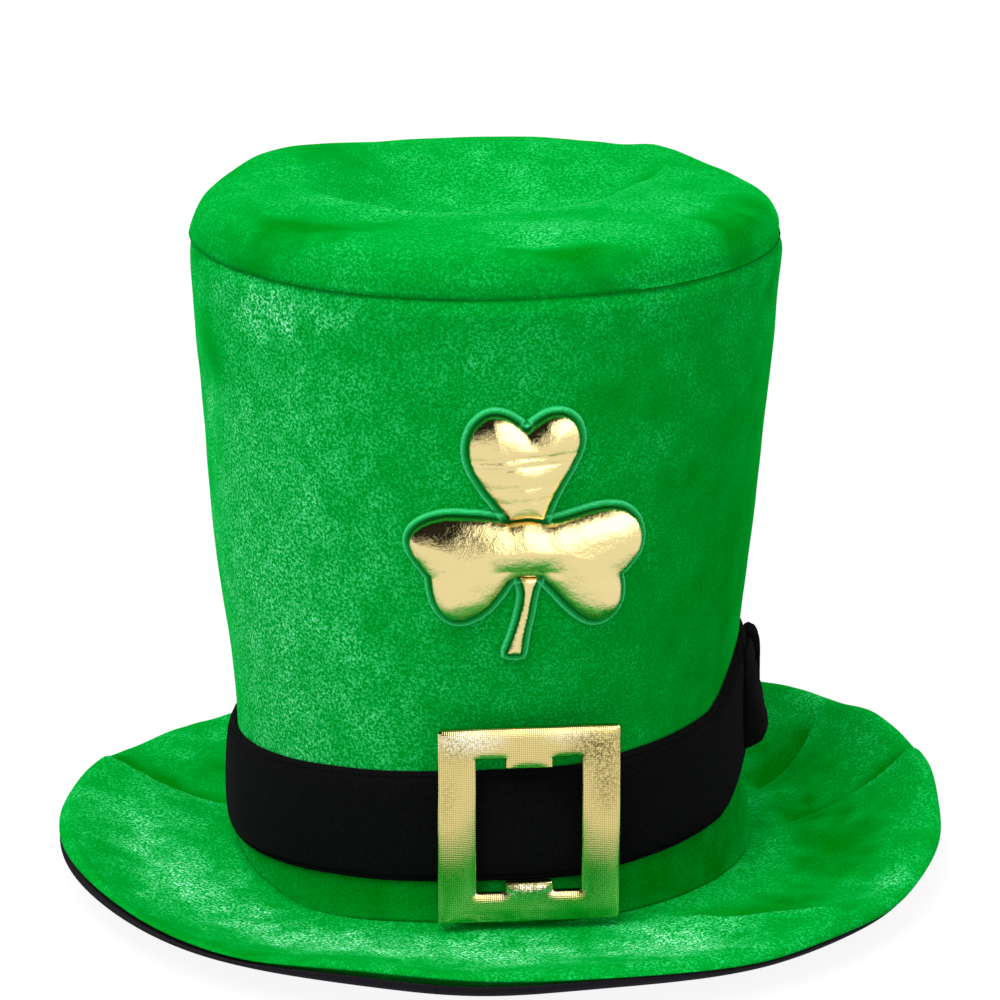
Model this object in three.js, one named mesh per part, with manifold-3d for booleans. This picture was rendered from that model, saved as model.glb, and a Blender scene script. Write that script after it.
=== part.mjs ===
// A leprechaun hat: a tall velvet crown with a hollowed top on a padded, curled brim, with a black band,
// a flat bow, a gold buckle and a gold shamrock.
// Millimetres, +Z up. The origin is the centre of the brim's circle on the surface that the hat rests on,
// and -Y is the front. An azimuth is in degrees, from 0 at the front to 90 at the hat's +X side.
import * as THREE from 'three';
import { mergeVertices } from 'three/addons/utils/BufferGeometryUtils.js';
import Module from 'manifold-3d';

const wasm = await Module();
wasm.setup();

// Driving dimensions
const GAP = 0.3;
const BRIM_SIDES = 72;
const CROWN_SIDES = 60;

const SEAM_HEIGHT = 248;
const SEAM_RADIUS = 110;
const WAIST_RADIUS = 95.3;
const BASE_RADIUS = 99.5;
const WALL = 3;
const TOP_RISE = 15.5;
const SHOULDER_WIDTH = 14;

const BRIM_RADIUS = 170;
const BRIM_THICKNESS = 9.5;
const BRIM_LIFT = 13;
const BRIM_EDGE = 8;
const UNDERSIDE = 1.8;

const BAND_WIDTH = 42;
const BAND_THICKNESS = 4.5;
const BAND_HEIGHT = 48;
const BAND_RISE = 10.6;

const BOW_AZIMUTH = 100;
const BOW_HITCH = 12;
const BOW_DROP = 0.5;
const BOW_HEIGHT = 40;
const BOW_LENGTH = 75;
const BOW_DEPTH = 8.5;
const RIBBON = 1.6;
const KNOT_WIDTH = 16;
const KNOT_DEPTH = 5.5;

const BUCKLE_AZIMUTH = 8;
const BUCKLE_TURN = 6;
const BUCKLE_WIDTH = 66.5;
const BUCKLE_HEIGHT = 73.5;
const BUCKLE_THICKNESS = 3;
const BUCKLE_SIDE_BAR = 14;
const BUCKLE_END_BAR = 11.5;
const BUCKLE_TAB_WIDTH = 17;
const BUCKLE_TAB_LENGTH = 4;
const BUCKLE_RISE = 0.6;

const SHAMROCK_AZIMUTH = 8.8;
const SHAMROCK_HEIGHT = 154;
const SHAMROCK_WIDTH = 84;
const SHAMROCK_PUFF = 4.5;
const STEM_LENGTH = 27;
const BORDER_WIDTH = 4;
const BORDER_THICKNESS = 1.5;

// Crown sections. up: share of the way from the brim to the seam. foot: share of the flare from the waist
// out to the base. flare: share of the flare from the waist out to the seam. lean: how far the section's
// centre stands to the +X side, a share of the waist's radius.
const CROWN_SECTIONS = [
  { up: 0.0, foot: 1.0, flare: 0.0, lean: -0.022 },
  { up: 0.05, foot: 0.93, flare: 0.0, lean: -0.028 },
  { up: 0.1, foot: 0.7, flare: 0.0, lean: -0.038 },
  { up: 0.16, foot: 0.28, flare: 0.0, lean: -0.05 },
  { up: 0.235, foot: 0.0, flare: 0.0, lean: -0.06 },
  { up: 0.4, foot: 0.0, flare: 0.22, lean: -0.069 },
  { up: 0.6, foot: 0.0, flare: 0.5, lean: -0.068 },
  { up: 0.72, foot: 0.0, flare: 0.66, lean: -0.064 },
  { up: 0.78, foot: 0.0, flare: 0.75, lean: -0.062 },
  { up: 0.9, foot: 0.0, flare: 0.92, lean: -0.057 },
  { up: 0.97, foot: 0.0, flare: 1.0, lean: -0.053 },
  { up: 1.0, foot: 0.0, flare: 0.98, lean: -0.05 },
];

// Soft dents in the crown's wall. wide: degrees. tall: share of the crown's height. deep: share of the
// seam's radius, less than 0 where the wall swells.
const CROWN_DENTS = [
  { azimuth: -76, up: 0.75, wide: 20, tall: 0.12, deep: 0.016 },
  { azimuth: -40, up: 0.88, wide: 30, tall: 0.16, deep: 0.01 },
  { azimuth: 62, up: 0.93, wide: 22, tall: 0.1, deep: 0.012 },
  { azimuth: 150, up: 0.6, wide: 45, tall: 0.3, deep: 0.02 },
  { azimuth: -140, up: 0.5, wide: 40, tall: 0.3, deep: 0.015 },
];

// Hollows of the top. across and back: the middle's place to the +X side and to the back. wide and long: half
// sizes. These four are shares of the seam's radius. firm: share of the hollow with a level floor.
// deep: share of the top's rise.
const TOP_HOLLOWS = [
  { across: -0.02, back: 0.25, wide: 0.62, long: 0.58, firm: 0.3, deep: 1.1 },
  { across: 0.8, back: 0.3, wide: 0.5, long: 0.6, firm: 0.0, deep: 0.14 },
  { across: 0.14, back: -0.83, wide: 0.22, long: 0.16, firm: 0.0, deep: 0.14 },
  { across: -0.5, back: -0.45, wide: 0.35, long: 0.3, firm: 0.0, deep: 0.14 },
];

// The rim of the brim, all the way round. lift: how high its underside stands, a share of the brim's lift.
// black: the share of its edge that the underside's cloth covers.
const RIM = [
  { azimuth: -180, lift: 1.0, black: 0.4 },
  { azimuth: -158, lift: 0.75, black: 0.35 },
  { azimuth: -138, lift: 0.55, black: 0.3 },
  { azimuth: -122, lift: 0.62, black: 0.3 },
  { azimuth: -106, lift: 0.86, black: 0.3 },
  { azimuth: -85, lift: 1.0, black: 0.3 },
  { azimuth: -62, lift: 1.04, black: 0.4 },
  { azimuth: -40, lift: 0.92, black: 0.5 },
  { azimuth: -18, lift: 1.0, black: 0.6 },
  { azimuth: -3, lift: 0.9, black: 0.62 },
  { azimuth: 12, lift: 1.04, black: 0.55 },
  { azimuth: 38, lift: 0.78, black: 0.4 },
  { azimuth: 55, lift: 0.8, black: 0.3 },
  { azimuth: 70, lift: 1.18, black: 0.2 },
  { azimuth: 88, lift: 1.2, black: 0.15 },
  { azimuth: 98, lift: 2.0, black: 0.15 },
  { azimuth: 112, lift: 2.3, black: 0.2 },
  { azimuth: 125, lift: 2.0, black: 0.2 },
  { azimuth: 140, lift: 1.75, black: 0.3 },
  { azimuth: 160, lift: 1.35, black: 0.35 },
];

// Creases and rolls that run out across the brim. crown and rim: azimuths of the two ends. wide: degrees.
// from: share of the way out where it begins. tall: share of the brim's thickness, less than 0 in a crease.
const BRIM_FOLDS = [
  { crown: -96, rim: -107, wide: 11, from: 0.1, tall: 0.35 },
  { crown: -104, rim: -120, wide: 10, from: 0.05, tall: -0.4 },
  { crown: 88, rim: 97, wide: 10, from: 0.1, tall: 0.35 },
  { crown: 96, rim: 108, wide: 9, from: 0.05, tall: -0.45 },
  { crown: 112, rim: 130, wide: 9, from: 0.0, tall: -0.4 },
  { crown: 40, rim: 47, wide: 14, from: 0.3, tall: 0.3 },
  { crown: 58, rim: 66, wide: 12, from: 0.1, tall: -0.3 },
  { crown: -44, rim: -44, wide: 36, from: -0.4, tall: -0.5 },
  { crown: -10, rim: -22, wide: 14, from: 0.2, tall: 0.15 },
  { crown: 160, rim: 168, wide: 14, from: 0.1, tall: 0.3 },
  { crown: -150, rim: -158, wide: 14, from: 0.1, tall: -0.3 },
];

// Heart-shaped leaves of the shamrock, whose points meet in its middle. angle: the way that a leaf runs out.
// length and width: shares of the shamrock's width. notch: share of the leaf's length.
const LEAVES = [
  { angle: 92, length: 0.62, width: 0.44, notch: 0.07 },
  { angle: 190.5, length: 0.468, width: 0.48, notch: 0.14 },
  { angle: -13.5, length: 0.478, width: 0.48, notch: 0.16 },
];
const SHAMROCK_HUB = 0.14;
const LONGEST_SIDE = 0.1;
const LEAF_SIDES = 12;
const POINT_GROWTH = 1.2;

// The shamrock's stem. down and across: shares of the stem's length. wide: share of the stem's length.
const STEM = [
  { down: 0.0, across: 0.04, wide: 0.12 },
  { down: 0.3, across: 0.03, wide: 0.11 },
  { down: 0.65, across: -0.03, wide: 0.16 },
  { down: 1.0, across: -0.14, wide: 0.24 },
];

// Path of the flat bow's ribbon, out from the knot and back. along: share of the loop's length. out: share
// of the bow's depth.
const LOOP_PATH = [
  { along: 0.0, out: 0.0 },
  { along: 0.35, out: 0.0 },
  { along: 0.7, out: 0.0 },
  { along: 0.92, out: 0.05 },
  { along: 1.0, out: 0.45 },
  { along: 0.94, out: 0.9 },
  { along: 0.7, out: 1.0 },
  { along: 0.35, out: 0.85 },
  { along: 0.0, out: 0.6 },
];

// Helpers
const rad = THREE.MathUtils.degToRad;
const lerp = THREE.MathUtils.lerp;
const smooth = (x) => THREE.MathUtils.smoothstep(x, 0, 1);
const bump = (x) => 1 - smooth(Math.abs(x));
const turnBetween = (a, b) => ((((a - b + 180) % 360) + 360) % 360) - 180;

// Straight-line reading of a table's column at a place between its rows
function read(table, key, place, column) {
  const next = table.findIndex((row) => row[key] >= place);
  if (next === 0) return table[0][column];
  if (next < 0) return table[table.length - 1][column];
  const [low, high] = [table[next - 1], table[next]];
  return lerp(low[column], high[column], (place - low[key]) / (high[key] - low[key]));
}

// Smooth reading of a column of a table that goes all the way round by azimuth
function readRound(table, azimuth, column) {
  const turned = turnBetween(azimuth, 0);
  const found = table.findIndex((row) => row.azimuth > turned);
  const next = found < 0 ? 0 : found;
  const low = table[(next - 1 + table.length) % table.length];
  const high = table[next];
  const span = (high.azimuth - low.azimuth + 360) % 360;
  const share = ((turned - low.azimuth + 360) % 360) / span;
  return lerp(low[column], high[column], smooth(share));
}

// Closed solid from points and triangles, with its faces turned outwards
function solid(points, triangles) {
  const sixVolumes = triangles.map(([a, b, c]) => points[a].dot(points[b].clone().cross(points[c])));
  const outwards = sixVolumes.reduce((sum, value) => sum + value, 0) > 0;
  const geometry = new THREE.BufferGeometry();
  geometry.setAttribute('position', new THREE.Float32BufferAttribute(points.flatMap((p) => p.toArray()), 3));
  geometry.setIndex(triangles.flatMap(([a, b, c]) => (outwards ? [a, b, c] : [a, c, b])));
  return geometry;
}

// Two triangles for each square between rows of points; an open strip ends at its last column
function skin(rows, columns, index, closed = true) {
  const triangles = [];
  for (let i = 0; i < rows; i += 1) {
    for (let j = 0; j < (closed ? columns : columns - 1); j += 1) {
      triangles.push([index(i, j), index(i + 1, j), index(i + 1, j + 1)]);
      triangles.push([index(i, j), index(i + 1, j + 1), index(i, j + 1)]);
    }
  }
  return triangles;
}

// Ring of closed sections, one for each azimuth
function ringSolid(sides, sectionAt) {
  const sections = Array.from({ length: sides }, (_, i) => sectionAt((i * 360) / sides));
  const size = sections[0].length;
  const index = (i, j) => (i % sides) * size + (j % size);
  return solid(sections.flat(), skin(sides, size, index));
}

// Lid of open sections, each from a point over the middle, out round the edge, and back to a point under it
function lidSolid(sides, over, under, sectionAt) {
  const sections = Array.from({ length: sides }, (_, i) => sectionAt((i * 360) / sides));
  const size = sections[0].length;
  const index = (i, j) => (i % sides) * size + j;
  const triangles = skin(sides, size, index, false);
  const last = sides * size;
  for (let i = 0; i < sides; i += 1) {
    triangles.push([last, index(i + 1, 0), index(i, 0)]);
    triangles.push([last + 1, index(i, size - 1), index(i + 1, size - 1)]);
  }
  return solid([...sections.flat(), over, under], triangles);
}

// Strap of closed sections in a row, with flat ends
function strapSolid(sections) {
  const size = sections[0].length;
  const index = (i, j) => i * size + (j % size);
  const last = sections.length - 1;
  const triangles = skin(last, size, index);
  for (let j = 1; j < size - 1; j += 1) {
    triangles.push([index(0, 0), index(0, j), index(0, j + 1)]);
    triangles.push([index(last, 0), index(last, j + 1), index(last, j)]);
  }
  return solid(sections.flat(), triangles);
}

function toManifold(geometry) {
  const merged = mergeVertices(geometry);
  const vertProperties = new Float32Array(merged.attributes.position.array);
  const triVerts = new Uint32Array(merged.index.array);
  return new wasm.Manifold(new wasm.Mesh({ numProp: 3, vertProperties, triVerts }));
}

function toGeometry(manifold) {
  const mesh = manifold.getMesh();
  const geometry = new THREE.BufferGeometry();
  geometry.setAttribute('position', new THREE.BufferAttribute(mesh.vertProperties, 3));
  geometry.setIndex(new THREE.BufferAttribute(mesh.triVerts, 1));
  return geometry;
}

// Brim: two skins over padding. out is the share of the way from the head opening to the rim.
const HOLE_RADIUS = BASE_RADIUS - WALL;
const HOLE_LEAN = CROWN_SECTIONS[0].lean * WAIST_RADIUS;
const REST_SHARE = 0.3;
const RIM_CURL = 1.6;
const FOLD_START = 0.3;
// The crown's wall stands on the inner margin of the brim, which is level from its hole outwards
const SEAT_SHARE = (WALL + 4 * GAP) / (BRIM_RADIUS - HOLE_RADIUS);

function brimPoint(azimuth, out, z, inset = 0) {
  const [sin, cos] = [Math.sin(rad(azimuth)), Math.cos(rad(azimuth))];
  const hole = new THREE.Vector3(HOLE_LEAN + HOLE_RADIUS * sin, -HOLE_RADIUS * cos, z);
  const rim = new THREE.Vector3((BRIM_RADIUS - inset) * sin, -(BRIM_RADIUS - inset) * cos, z);
  return hole.lerp(rim, out);
}

function brimLift(azimuth, out) {
  const curl = Math.max(0, (out - REST_SHARE) / (1 - REST_SHARE));
  return BRIM_LIFT * readRound(RIM, azimuth, 'lift') * curl ** RIM_CURL;
}

function brimFold(azimuth, out) {
  const heights = BRIM_FOLDS.map((fold) => {
    const middle = lerp(fold.crown, fold.rim, out);
    const begins = smooth((out - fold.from - SEAT_SHARE) / FOLD_START);
    return fold.tall * BRIM_THICKNESS * begins * bump(turnBetween(azimuth, middle) / fold.wide);
  });
  return heights.reduce((sum, height) => sum + height, 0);
}

function brimTopHeight(azimuth, out) {
  return brimLift(azimuth, out) + BRIM_THICKNESS + brimFold(azimuth, out);
}

// The rounded edge, from 90 degrees at its upper skin to -90 at its lower one, less an inset
const EDGE_SHARE = 1 - BRIM_EDGE / (BRIM_RADIUS - HOLE_RADIUS);

function edgePoint(azimuth, angle, inset) {
  const top = brimTopHeight(azimuth, EDGE_SHARE);
  const bottom = brimLift(azimuth, EDGE_SHARE);
  const half = (top - bottom) / 2;
  const drop = brimLift(azimuth, 1) - bottom;
  const depth = Math.cos(rad(angle));
  const out = lerp(EDGE_SHARE, 1, depth * (1 - inset / BRIM_EDGE));
  const z = (top + bottom) / 2 + (drop * depth) / 2 + (half - inset) * Math.sin(rad(angle));
  return brimPoint(azimuth, out, z);
}

function blackAngle(azimuth) {
  return THREE.MathUtils.radToDeg(Math.asin(2 * readRound(RIM, azimuth, 'black') - 1));
}

const BRIM_TOP_SHARES = [0, SEAT_SHARE, 0.15, 0.28, 0.42, 0.56, 0.7, 0.82, EDGE_SHARE];
const BRIM_LOW_SHARES = [REST_SHARE, 0.66, EDGE_SHARE];
const LIP_ANGLE = 4;

function brimTop() {
  return ringSolid(BRIM_SIDES, (azimuth) => {
    const split = blackAngle(azimuth);
    const inset = UNDERSIDE + GAP;
    const upper = BRIM_TOP_SHARES.map((out) => brimPoint(azimuth, out, brimTopHeight(azimuth, out)));
    const edge = [0.75, 0.25].map((share) => edgePoint(azimuth, lerp(split, 90, share), 0));
    const lip = [edgePoint(azimuth, split, 0), edgePoint(azimuth, split, inset)];
    const roll = [edgePoint(azimuth, lerp(split, -90, 0.5), inset)];
    const lower = [...BRIM_LOW_SHARES].reverse().map((out) => (
      brimPoint(azimuth, out, brimLift(azimuth, out) + inset)));
    return [...upper, ...edge, ...lip, ...roll, ...lower, brimPoint(azimuth, 0, inset)];
  });
}

function brimUnderside() {
  return ringSolid(BRIM_SIDES, (azimuth) => {
    const split = blackAngle(azimuth) - LIP_ANGLE;
    const lower = BRIM_LOW_SHARES.map((out) => brimPoint(azimuth, out, brimLift(azimuth, out)));
    const roll = edgePoint(azimuth, lerp(split, -90, 0.5), 0);
    const lip = [edgePoint(azimuth, split, 0), edgePoint(azimuth, split, UNDERSIDE)];
    const inner = edgePoint(azimuth, lerp(split, -90, 0.5), UNDERSIDE);
    const upper = [...BRIM_LOW_SHARES].reverse().map((out) => (
      brimPoint(azimuth, out, brimLift(azimuth, out) + UNDERSIDE)));
    const hole = brimPoint(azimuth, 0, 0);
    return [hole, ...lower, roll, ...lip, inner, ...upper, brimPoint(azimuth, 0, UNDERSIDE)];
  });
}

// Crown wall
function crownFoot(azimuth) {
  return brimTopHeight(azimuth, SEAT_SHARE / 2) + GAP;
}

function crownAt(azimuth, z) {
  const foot = crownFoot(azimuth);
  const up = (z - foot) / (SEAM_HEIGHT - foot);
  const section = (column) => read(CROWN_SECTIONS, 'up', up, column);
  const dents = CROWN_DENTS.map((dent) => {
    const side = turnBetween(azimuth, dent.azimuth) / dent.wide;
    return dent.deep * bump(Math.hypot(side, (up - dent.up) / dent.tall));
  });
  const dented = SEAM_RADIUS * dents.reduce((sum, dent) => sum + dent, 0);
  const flared = (SEAM_RADIUS - WAIST_RADIUS) * section('flare');
  const footed = (BASE_RADIUS - WAIST_RADIUS) * section('foot');
  return { radius: WAIST_RADIUS + flared + footed - dented, lean: WAIST_RADIUS * section('lean') };
}

// A point off the crown's wall, out by a distance
function crownPoint(azimuth, z, out) {
  const { radius, lean } = crownAt(azimuth, z);
  const reach = radius + out;
  return new THREE.Vector3(lean + reach * Math.sin(rad(azimuth)), -reach * Math.cos(rad(azimuth)), z);
}

function crownSide() {
  return ringSolid(CROWN_SIDES, (azimuth) => {
    const height = (up) => lerp(crownFoot(azimuth), SEAM_HEIGHT, up);
    const outer = CROWN_SECTIONS.map(({ up }) => crownPoint(azimuth, height(up), 0));
    const lined = CROWN_SECTIONS.filter((_, i) => i % 2 === 0 || i === CROWN_SECTIONS.length - 1);
    const inner = lined.map(({ up }) => crownPoint(azimuth, height(up), -WALL));
    return [...outer, ...inner.reverse()];
  });
}

// Crown top: it rises over a rounded shoulder from the seam and sinks into a hollow
const TOP_SHARES = [0.14, 0.28, 0.42, 0.56, 0.7, 0.82, 0.9, 0.96, 1];
const TOP_INNER_SHARES = [0.28, 0.56, 0.8, 0.92, 1];
const TOP_LEAN = CROWN_SECTIONS[CROWN_SECTIONS.length - 1].lean * WAIST_RADIUS;
const TOP_RADIUS = crownAt(0, SEAM_HEIGHT).radius;
const SHOULDER_ROUNDNESS = 2.4;

function shoulder(share) {
  const inner = 1 - SHOULDER_WIDTH / SEAM_RADIUS;
  const down = Math.max(0, (share - inner) / (1 - inner));
  return Math.sqrt(1 - down ** SHOULDER_ROUNDNESS);
}

function topRise(azimuth, share) {
  const [across, back] = [share * Math.sin(rad(azimuth)), -share * Math.cos(rad(azimuth))];
  const drops = TOP_HOLLOWS.map((hollow) => {
    const away = Math.hypot((across - hollow.across) / hollow.wide, (back - hollow.back) / hollow.long);
    return hollow.deep * bump(Math.max(0, (away - hollow.firm) / (1 - hollow.firm)));
  });
  return TOP_RISE * shoulder(share) * (1 - drops.reduce((sum, drop) => sum + drop, 0));
}

function crownTop() {
  const base = SEAM_HEIGHT + GAP;
  const place = (azimuth, reach, z) => (
    new THREE.Vector3(TOP_LEAN + reach * Math.sin(rad(azimuth)), -reach * Math.cos(rad(azimuth)), z));
  const outer = (azimuth, share) => place(azimuth, share * TOP_RADIUS, base + topRise(azimuth, share));
  const inner = (azimuth, share) => (
    place(azimuth, share * (TOP_RADIUS - WALL), base + topRise(azimuth, share) - WALL * shoulder(share)));
  return lidSolid(CROWN_SIDES, outer(0, 0), inner(0, 0), (azimuth) => [
    ...TOP_SHARES.map((share) => outer(azimuth, share)),
    ...[...TOP_INNER_SHARES].reverse().map((share) => inner(azimuth, share)),
  ]);
}

// Band: a padded strap round the waist, tilted up to the +X side, and hitched up and spread under the bow.
// The hitch is level for some degrees on both sides of the bow's middle, and runs out at its foot.
const HITCH_TOP_ANGLE = 18;
const HITCH_FOOT_ANGLE = 42;
const BAND_SPREAD = 0.16;
const BAND_SECTION = [
  { up: -1, out: 0 },
  { up: -0.3, out: 0 },
  { up: 0.3, out: 0 },
  { up: 1, out: 0 },
  { up: 0.93, out: 0.5 },
  { up: 0.62, out: 1 },
  { up: -0.62, out: 1 },
  { up: -0.93, out: 0.5 },
];

function hitched(azimuth) {
  const away = Math.abs(turnBetween(azimuth, BOW_AZIMUTH));
  return 1 - smooth((away - HITCH_TOP_ANGLE) / (HITCH_FOOT_ANGLE - HITCH_TOP_ANGLE));
}

function bandMiddle(azimuth) {
  return BAND_HEIGHT + BAND_RISE * Math.sin(rad(azimuth)) + BOW_HITCH * hitched(azimuth);
}

function bandWidth(azimuth) {
  return BAND_WIDTH * (1 + BAND_SPREAD * hitched(azimuth));
}

function bandPoint(azimuth, { up, out }) {
  const z = bandMiddle(azimuth) + (up * bandWidth(azimuth)) / 2;
  return crownPoint(azimuth, z, GAP + out * BAND_THICKNESS);
}

function hatBand() {
  return ringSolid(CROWN_SIDES, (azimuth) => BAND_SECTION.map((section) => bandPoint(azimuth, section)));
}

// Flat bow: two looped ribbons and a knot on the band. The knot's table of sections gives the share of its
// half width and of its depth, and the table of its outline the shares of its half height and of its depth.
const ON_BAND = GAP + BAND_THICKNESS + GAP;
const LOOP_SPLAY = { top: 0.45, bottom: 1.1 };
const KNOT_HEIGHT = BOW_HEIGHT - RIBBON;
const KNOT_SECTIONS = [
  { along: -1, full: 0.55 },
  { along: -0.7, full: 1 },
  { along: 0.7, full: 1 },
  { along: 1, full: 0.55 },
];
const KNOT_OUTLINE = [
  { up: -1, out: 0 },
  { up: 1, out: 0 },
  { up: 0.96, out: 0.6 },
  { up: 0.75, out: 1 },
  { up: -0.75, out: 1 },
  { up: -0.96, out: 0.6 },
];

function bowPoint(along, up, out) {
  const middle = bandMiddle(BOW_AZIMUTH);
  const waist = crownAt(BOW_AZIMUTH, middle).radius + ON_BAND;
  const azimuth = BOW_AZIMUTH + THREE.MathUtils.radToDeg(along / waist);
  return crownPoint(azimuth, bandMiddle(azimuth) - BOW_DROP + up, ON_BAND + out);
}

function bowLoop(side) {
  const start = KNOT_WIDTH / 2 + GAP;
  const length = BOW_LENGTH / 2 - start;
  const path = LOOP_PATH.map(({ along, out }) => (
    [start + along * length, RIBBON / 2 + out * (BOW_DEPTH - RIBBON)]));
  return strapSolid(path.map(([along, out], i) => {
    const [ahead, behind] = [path[Math.min(i + 1, path.length - 1)], path[Math.max(i - 1, 0)]];
    const way = new THREE.Vector2(ahead[0] - behind[0], ahead[1] - behind[1]).setLength(RIBBON / 2);
    const faces = [1, -1].map((face) => [side * (along - face * way.y), out + face * way.x]);
    const splay = (up) => (up < 0 ? LOOP_SPLAY.bottom : LOOP_SPLAY.top);
    const corner = ([s, d], up) => bowPoint(s, (up * BOW_HEIGHT) / 2, d < RIBBON ? d : d * splay(up));
    return [corner(faces[0], -1), corner(faces[0], 1), corner(faces[1], 1), corner(faces[1], -1)];
  }));
}

function bowKnot() {
  return strapSolid(KNOT_SECTIONS.map(({ along, full }) => KNOT_OUTLINE.map(({ up, out }) => (
    bowPoint((along * KNOT_WIDTH) / 2, (up * KNOT_HEIGHT) / 2, out * full * KNOT_DEPTH)))));
}

// Buckle: a flat frame on the band, with a tab above and below its window. The band swells into the window.
const WINDOW_SIDE = BUCKLE_WIDTH / 2 - BUCKLE_SIDE_BAR;
const WINDOW_END = BUCKLE_HEIGHT / 2 - BUCKLE_END_BAR;
const TAB_SIDE = BUCKLE_TAB_WIDTH / 2;
const TAB_END = WINDOW_END - BUCKLE_TAB_LENGTH;
const SEAT_SAMPLES = 9;

function buckle() {
  const [w, h] = [BUCKLE_WIDTH / 2, BUCKLE_HEIGHT / 2];
  const outline = [[-w, -h], [w, -h], [w, h], [-w, h]];
  const upperHalf = [
    [WINDOW_SIDE, WINDOW_END], [TAB_SIDE, WINDOW_END], [TAB_SIDE, TAB_END],
    [-TAB_SIDE, TAB_END], [-TAB_SIDE, WINDOW_END], [-WINDOW_SIDE, WINDOW_END],
  ];
  const window = [...upperHalf, ...upperHalf.map(([x, y]) => [-x, -y])];
  const shape = new THREE.Shape(outline.map(([x, y]) => new THREE.Vector2(x, y)));
  shape.holes.push(new THREE.Path(window.map(([x, y]) => new THREE.Vector2(x, y))));
  return new THREE.ExtrudeGeometry(shape, { depth: BUCKLE_THICKNESS, bevelEnabled: false });
}

function coveredByBuckle(side, up) {
  const end = side < TAB_SIDE ? TAB_END : WINDOW_END;
  return side < BUCKLE_WIDTH / 2 && up < BUCKLE_HEIGHT / 2 && (side > WINDOW_SIDE || up > end);
}

// The frame faces the buckle's turn, and is seated on the places of the band and the crown that it covers
function placeBuckle(mesh) {
  const facing = new THREE.Vector3(Math.sin(rad(BUCKLE_TURN)), -Math.cos(rad(BUCKLE_TURN)), 0);
  const middle = bandMiddle(BUCKLE_AZIMUTH) + BUCKLE_RISE;
  const centre = crownPoint(BUCKLE_AZIMUTH, middle, 0);
  const sides = Array.from({ length: 2 * SEAT_SAMPLES + 1 }, (_, i) => (
    BUCKLE_AZIMUTH + ((i - SEAT_SAMPLES) * 360) / (2 * CROWN_SIDES)));
  const skins = sides.flatMap((azimuth) => BAND_SECTION.flatMap((low, i) => {
    const high = BAND_SECTION[(i + 1) % BAND_SECTION.length];
    const between = (t) => ({ up: lerp(low.up, high.up, t), out: lerp(low.out, high.out, t) });
    const onCrown = crownPoint(azimuth, middle + (low.up * BUCKLE_HEIGHT) / 2, 0);
    return [...[0, 0.25, 0.5, 0.75].map((t) => bandPoint(azimuth, between(t))), onCrown];
  }));
  const covered = skins.filter((point) => {
    const side = point.clone().sub(centre).cross(facing).z;
    return coveredByBuckle(Math.abs(side), Math.abs(point.z - middle));
  });
  const back = Math.max(...covered.map((point) => point.dot(facing))) + GAP;
  mesh.rotation.set(Math.PI / 2, rad(BUCKLE_TURN), 0, 'ZXY');
  mesh.position.copy(centre.addScaledVector(facing, back - centre.dot(facing)));
}

// Shamrock: gold leaves and a stem on a raised border, wrapped round the front of the crown
function wrapped(across, up, out) {
  const z = SHAMROCK_HEIGHT + up;
  const turn = THREE.MathUtils.radToDeg(across / crownAt(SHAMROCK_AZIMUTH, z).radius);
  return crownPoint(SHAMROCK_AZIMUTH + turn, z, out);
}

// Half of a heart's outline, from its point to its notch, in shares of its length and of half its width
function heartHalf(notch) {
  const path = new THREE.Path();
  path.moveTo(0, 0);
  path.bezierCurveTo(0.2, 0.32, 0.45, 1, 0.76, 1);
  path.bezierCurveTo(0.9, 1, 1, 0.86, 1, 0.62);
  path.bezierCurveTo(1, 0.38, 1 - notch * 0.7, 0.14, 1 - notch, 0);
  return path.getSpacedPoints(LEAF_SIDES);
}

// Outline of a leaf, grown on all sides and most at its point, as places across and up from the middle
function leafOutline(leaf, grown) {
  const length = leaf.length * SHAMROCK_WIDTH + (1 + POINT_GROWTH) * grown;
  const half = (leaf.width * SHAMROCK_WIDTH) / 2 + grown;
  const side = heartHalf((leaf.notch * SHAMROCK_WIDTH * leaf.length) / length);
  const other = side.slice(1, -1).reverse().map((p) => new THREE.Vector2(p.x, -p.y));
  const middle = new THREE.Vector2();
  return [...side, ...other].map((p) => {
    const place = new THREE.Vector2(p.x * length - POINT_GROWTH * grown, p.y * half);
    return place.rotateAround(middle, rad(leaf.angle));
  });
}

// How far a ray from the shamrock's middle runs before it leaves an outline round that middle
function rayLength(outline, angle) {
  const way = new THREE.Vector2(Math.cos(angle), Math.sin(angle));
  const hits = outline.map((start, i) => {
    const side = outline[(i + 1) % outline.length].clone().sub(start);
    const across = way.cross(side);
    const along = start.cross(side) / across;
    const share = start.cross(way) / across;
    return share >= 0 && share <= 1 && along > 0 ? along : 0;
  });
  return Math.max(...hits);
}

// The same outline with its long sides split, so that it bends with the crown
function shortSided(outline) {
  return outline.flatMap((start, i) => {
    const end = outline[(i + 1) % outline.length];
    const parts = Math.ceil(start.distanceTo(end) / (SHAMROCK_WIDTH * LONGEST_SIDE));
    return Array.from({ length: parts }, (_, k) => start.clone().lerp(end, k / parts));
  });
}

// Outline round several leaves and the hub between them, from rays that miss the leaves' corners
const RAY_START = 0.37;

function clusterOutline(leaves, grown, count) {
  const outlines = leaves.map((leaf) => leafOutline(leaf, grown));
  const hub = SHAMROCK_HUB * SHAMROCK_WIDTH + grown;
  return shortSided(Array.from({ length: count }, (_, i) => {
    const angle = ((i + RAY_START) / count) * 2 * Math.PI;
    const reach = Math.max(hub, ...outlines.map((outline) => rayLength(outline, angle)));
    return new THREE.Vector2(reach * Math.cos(angle), reach * Math.sin(angle));
  }));
}

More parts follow.
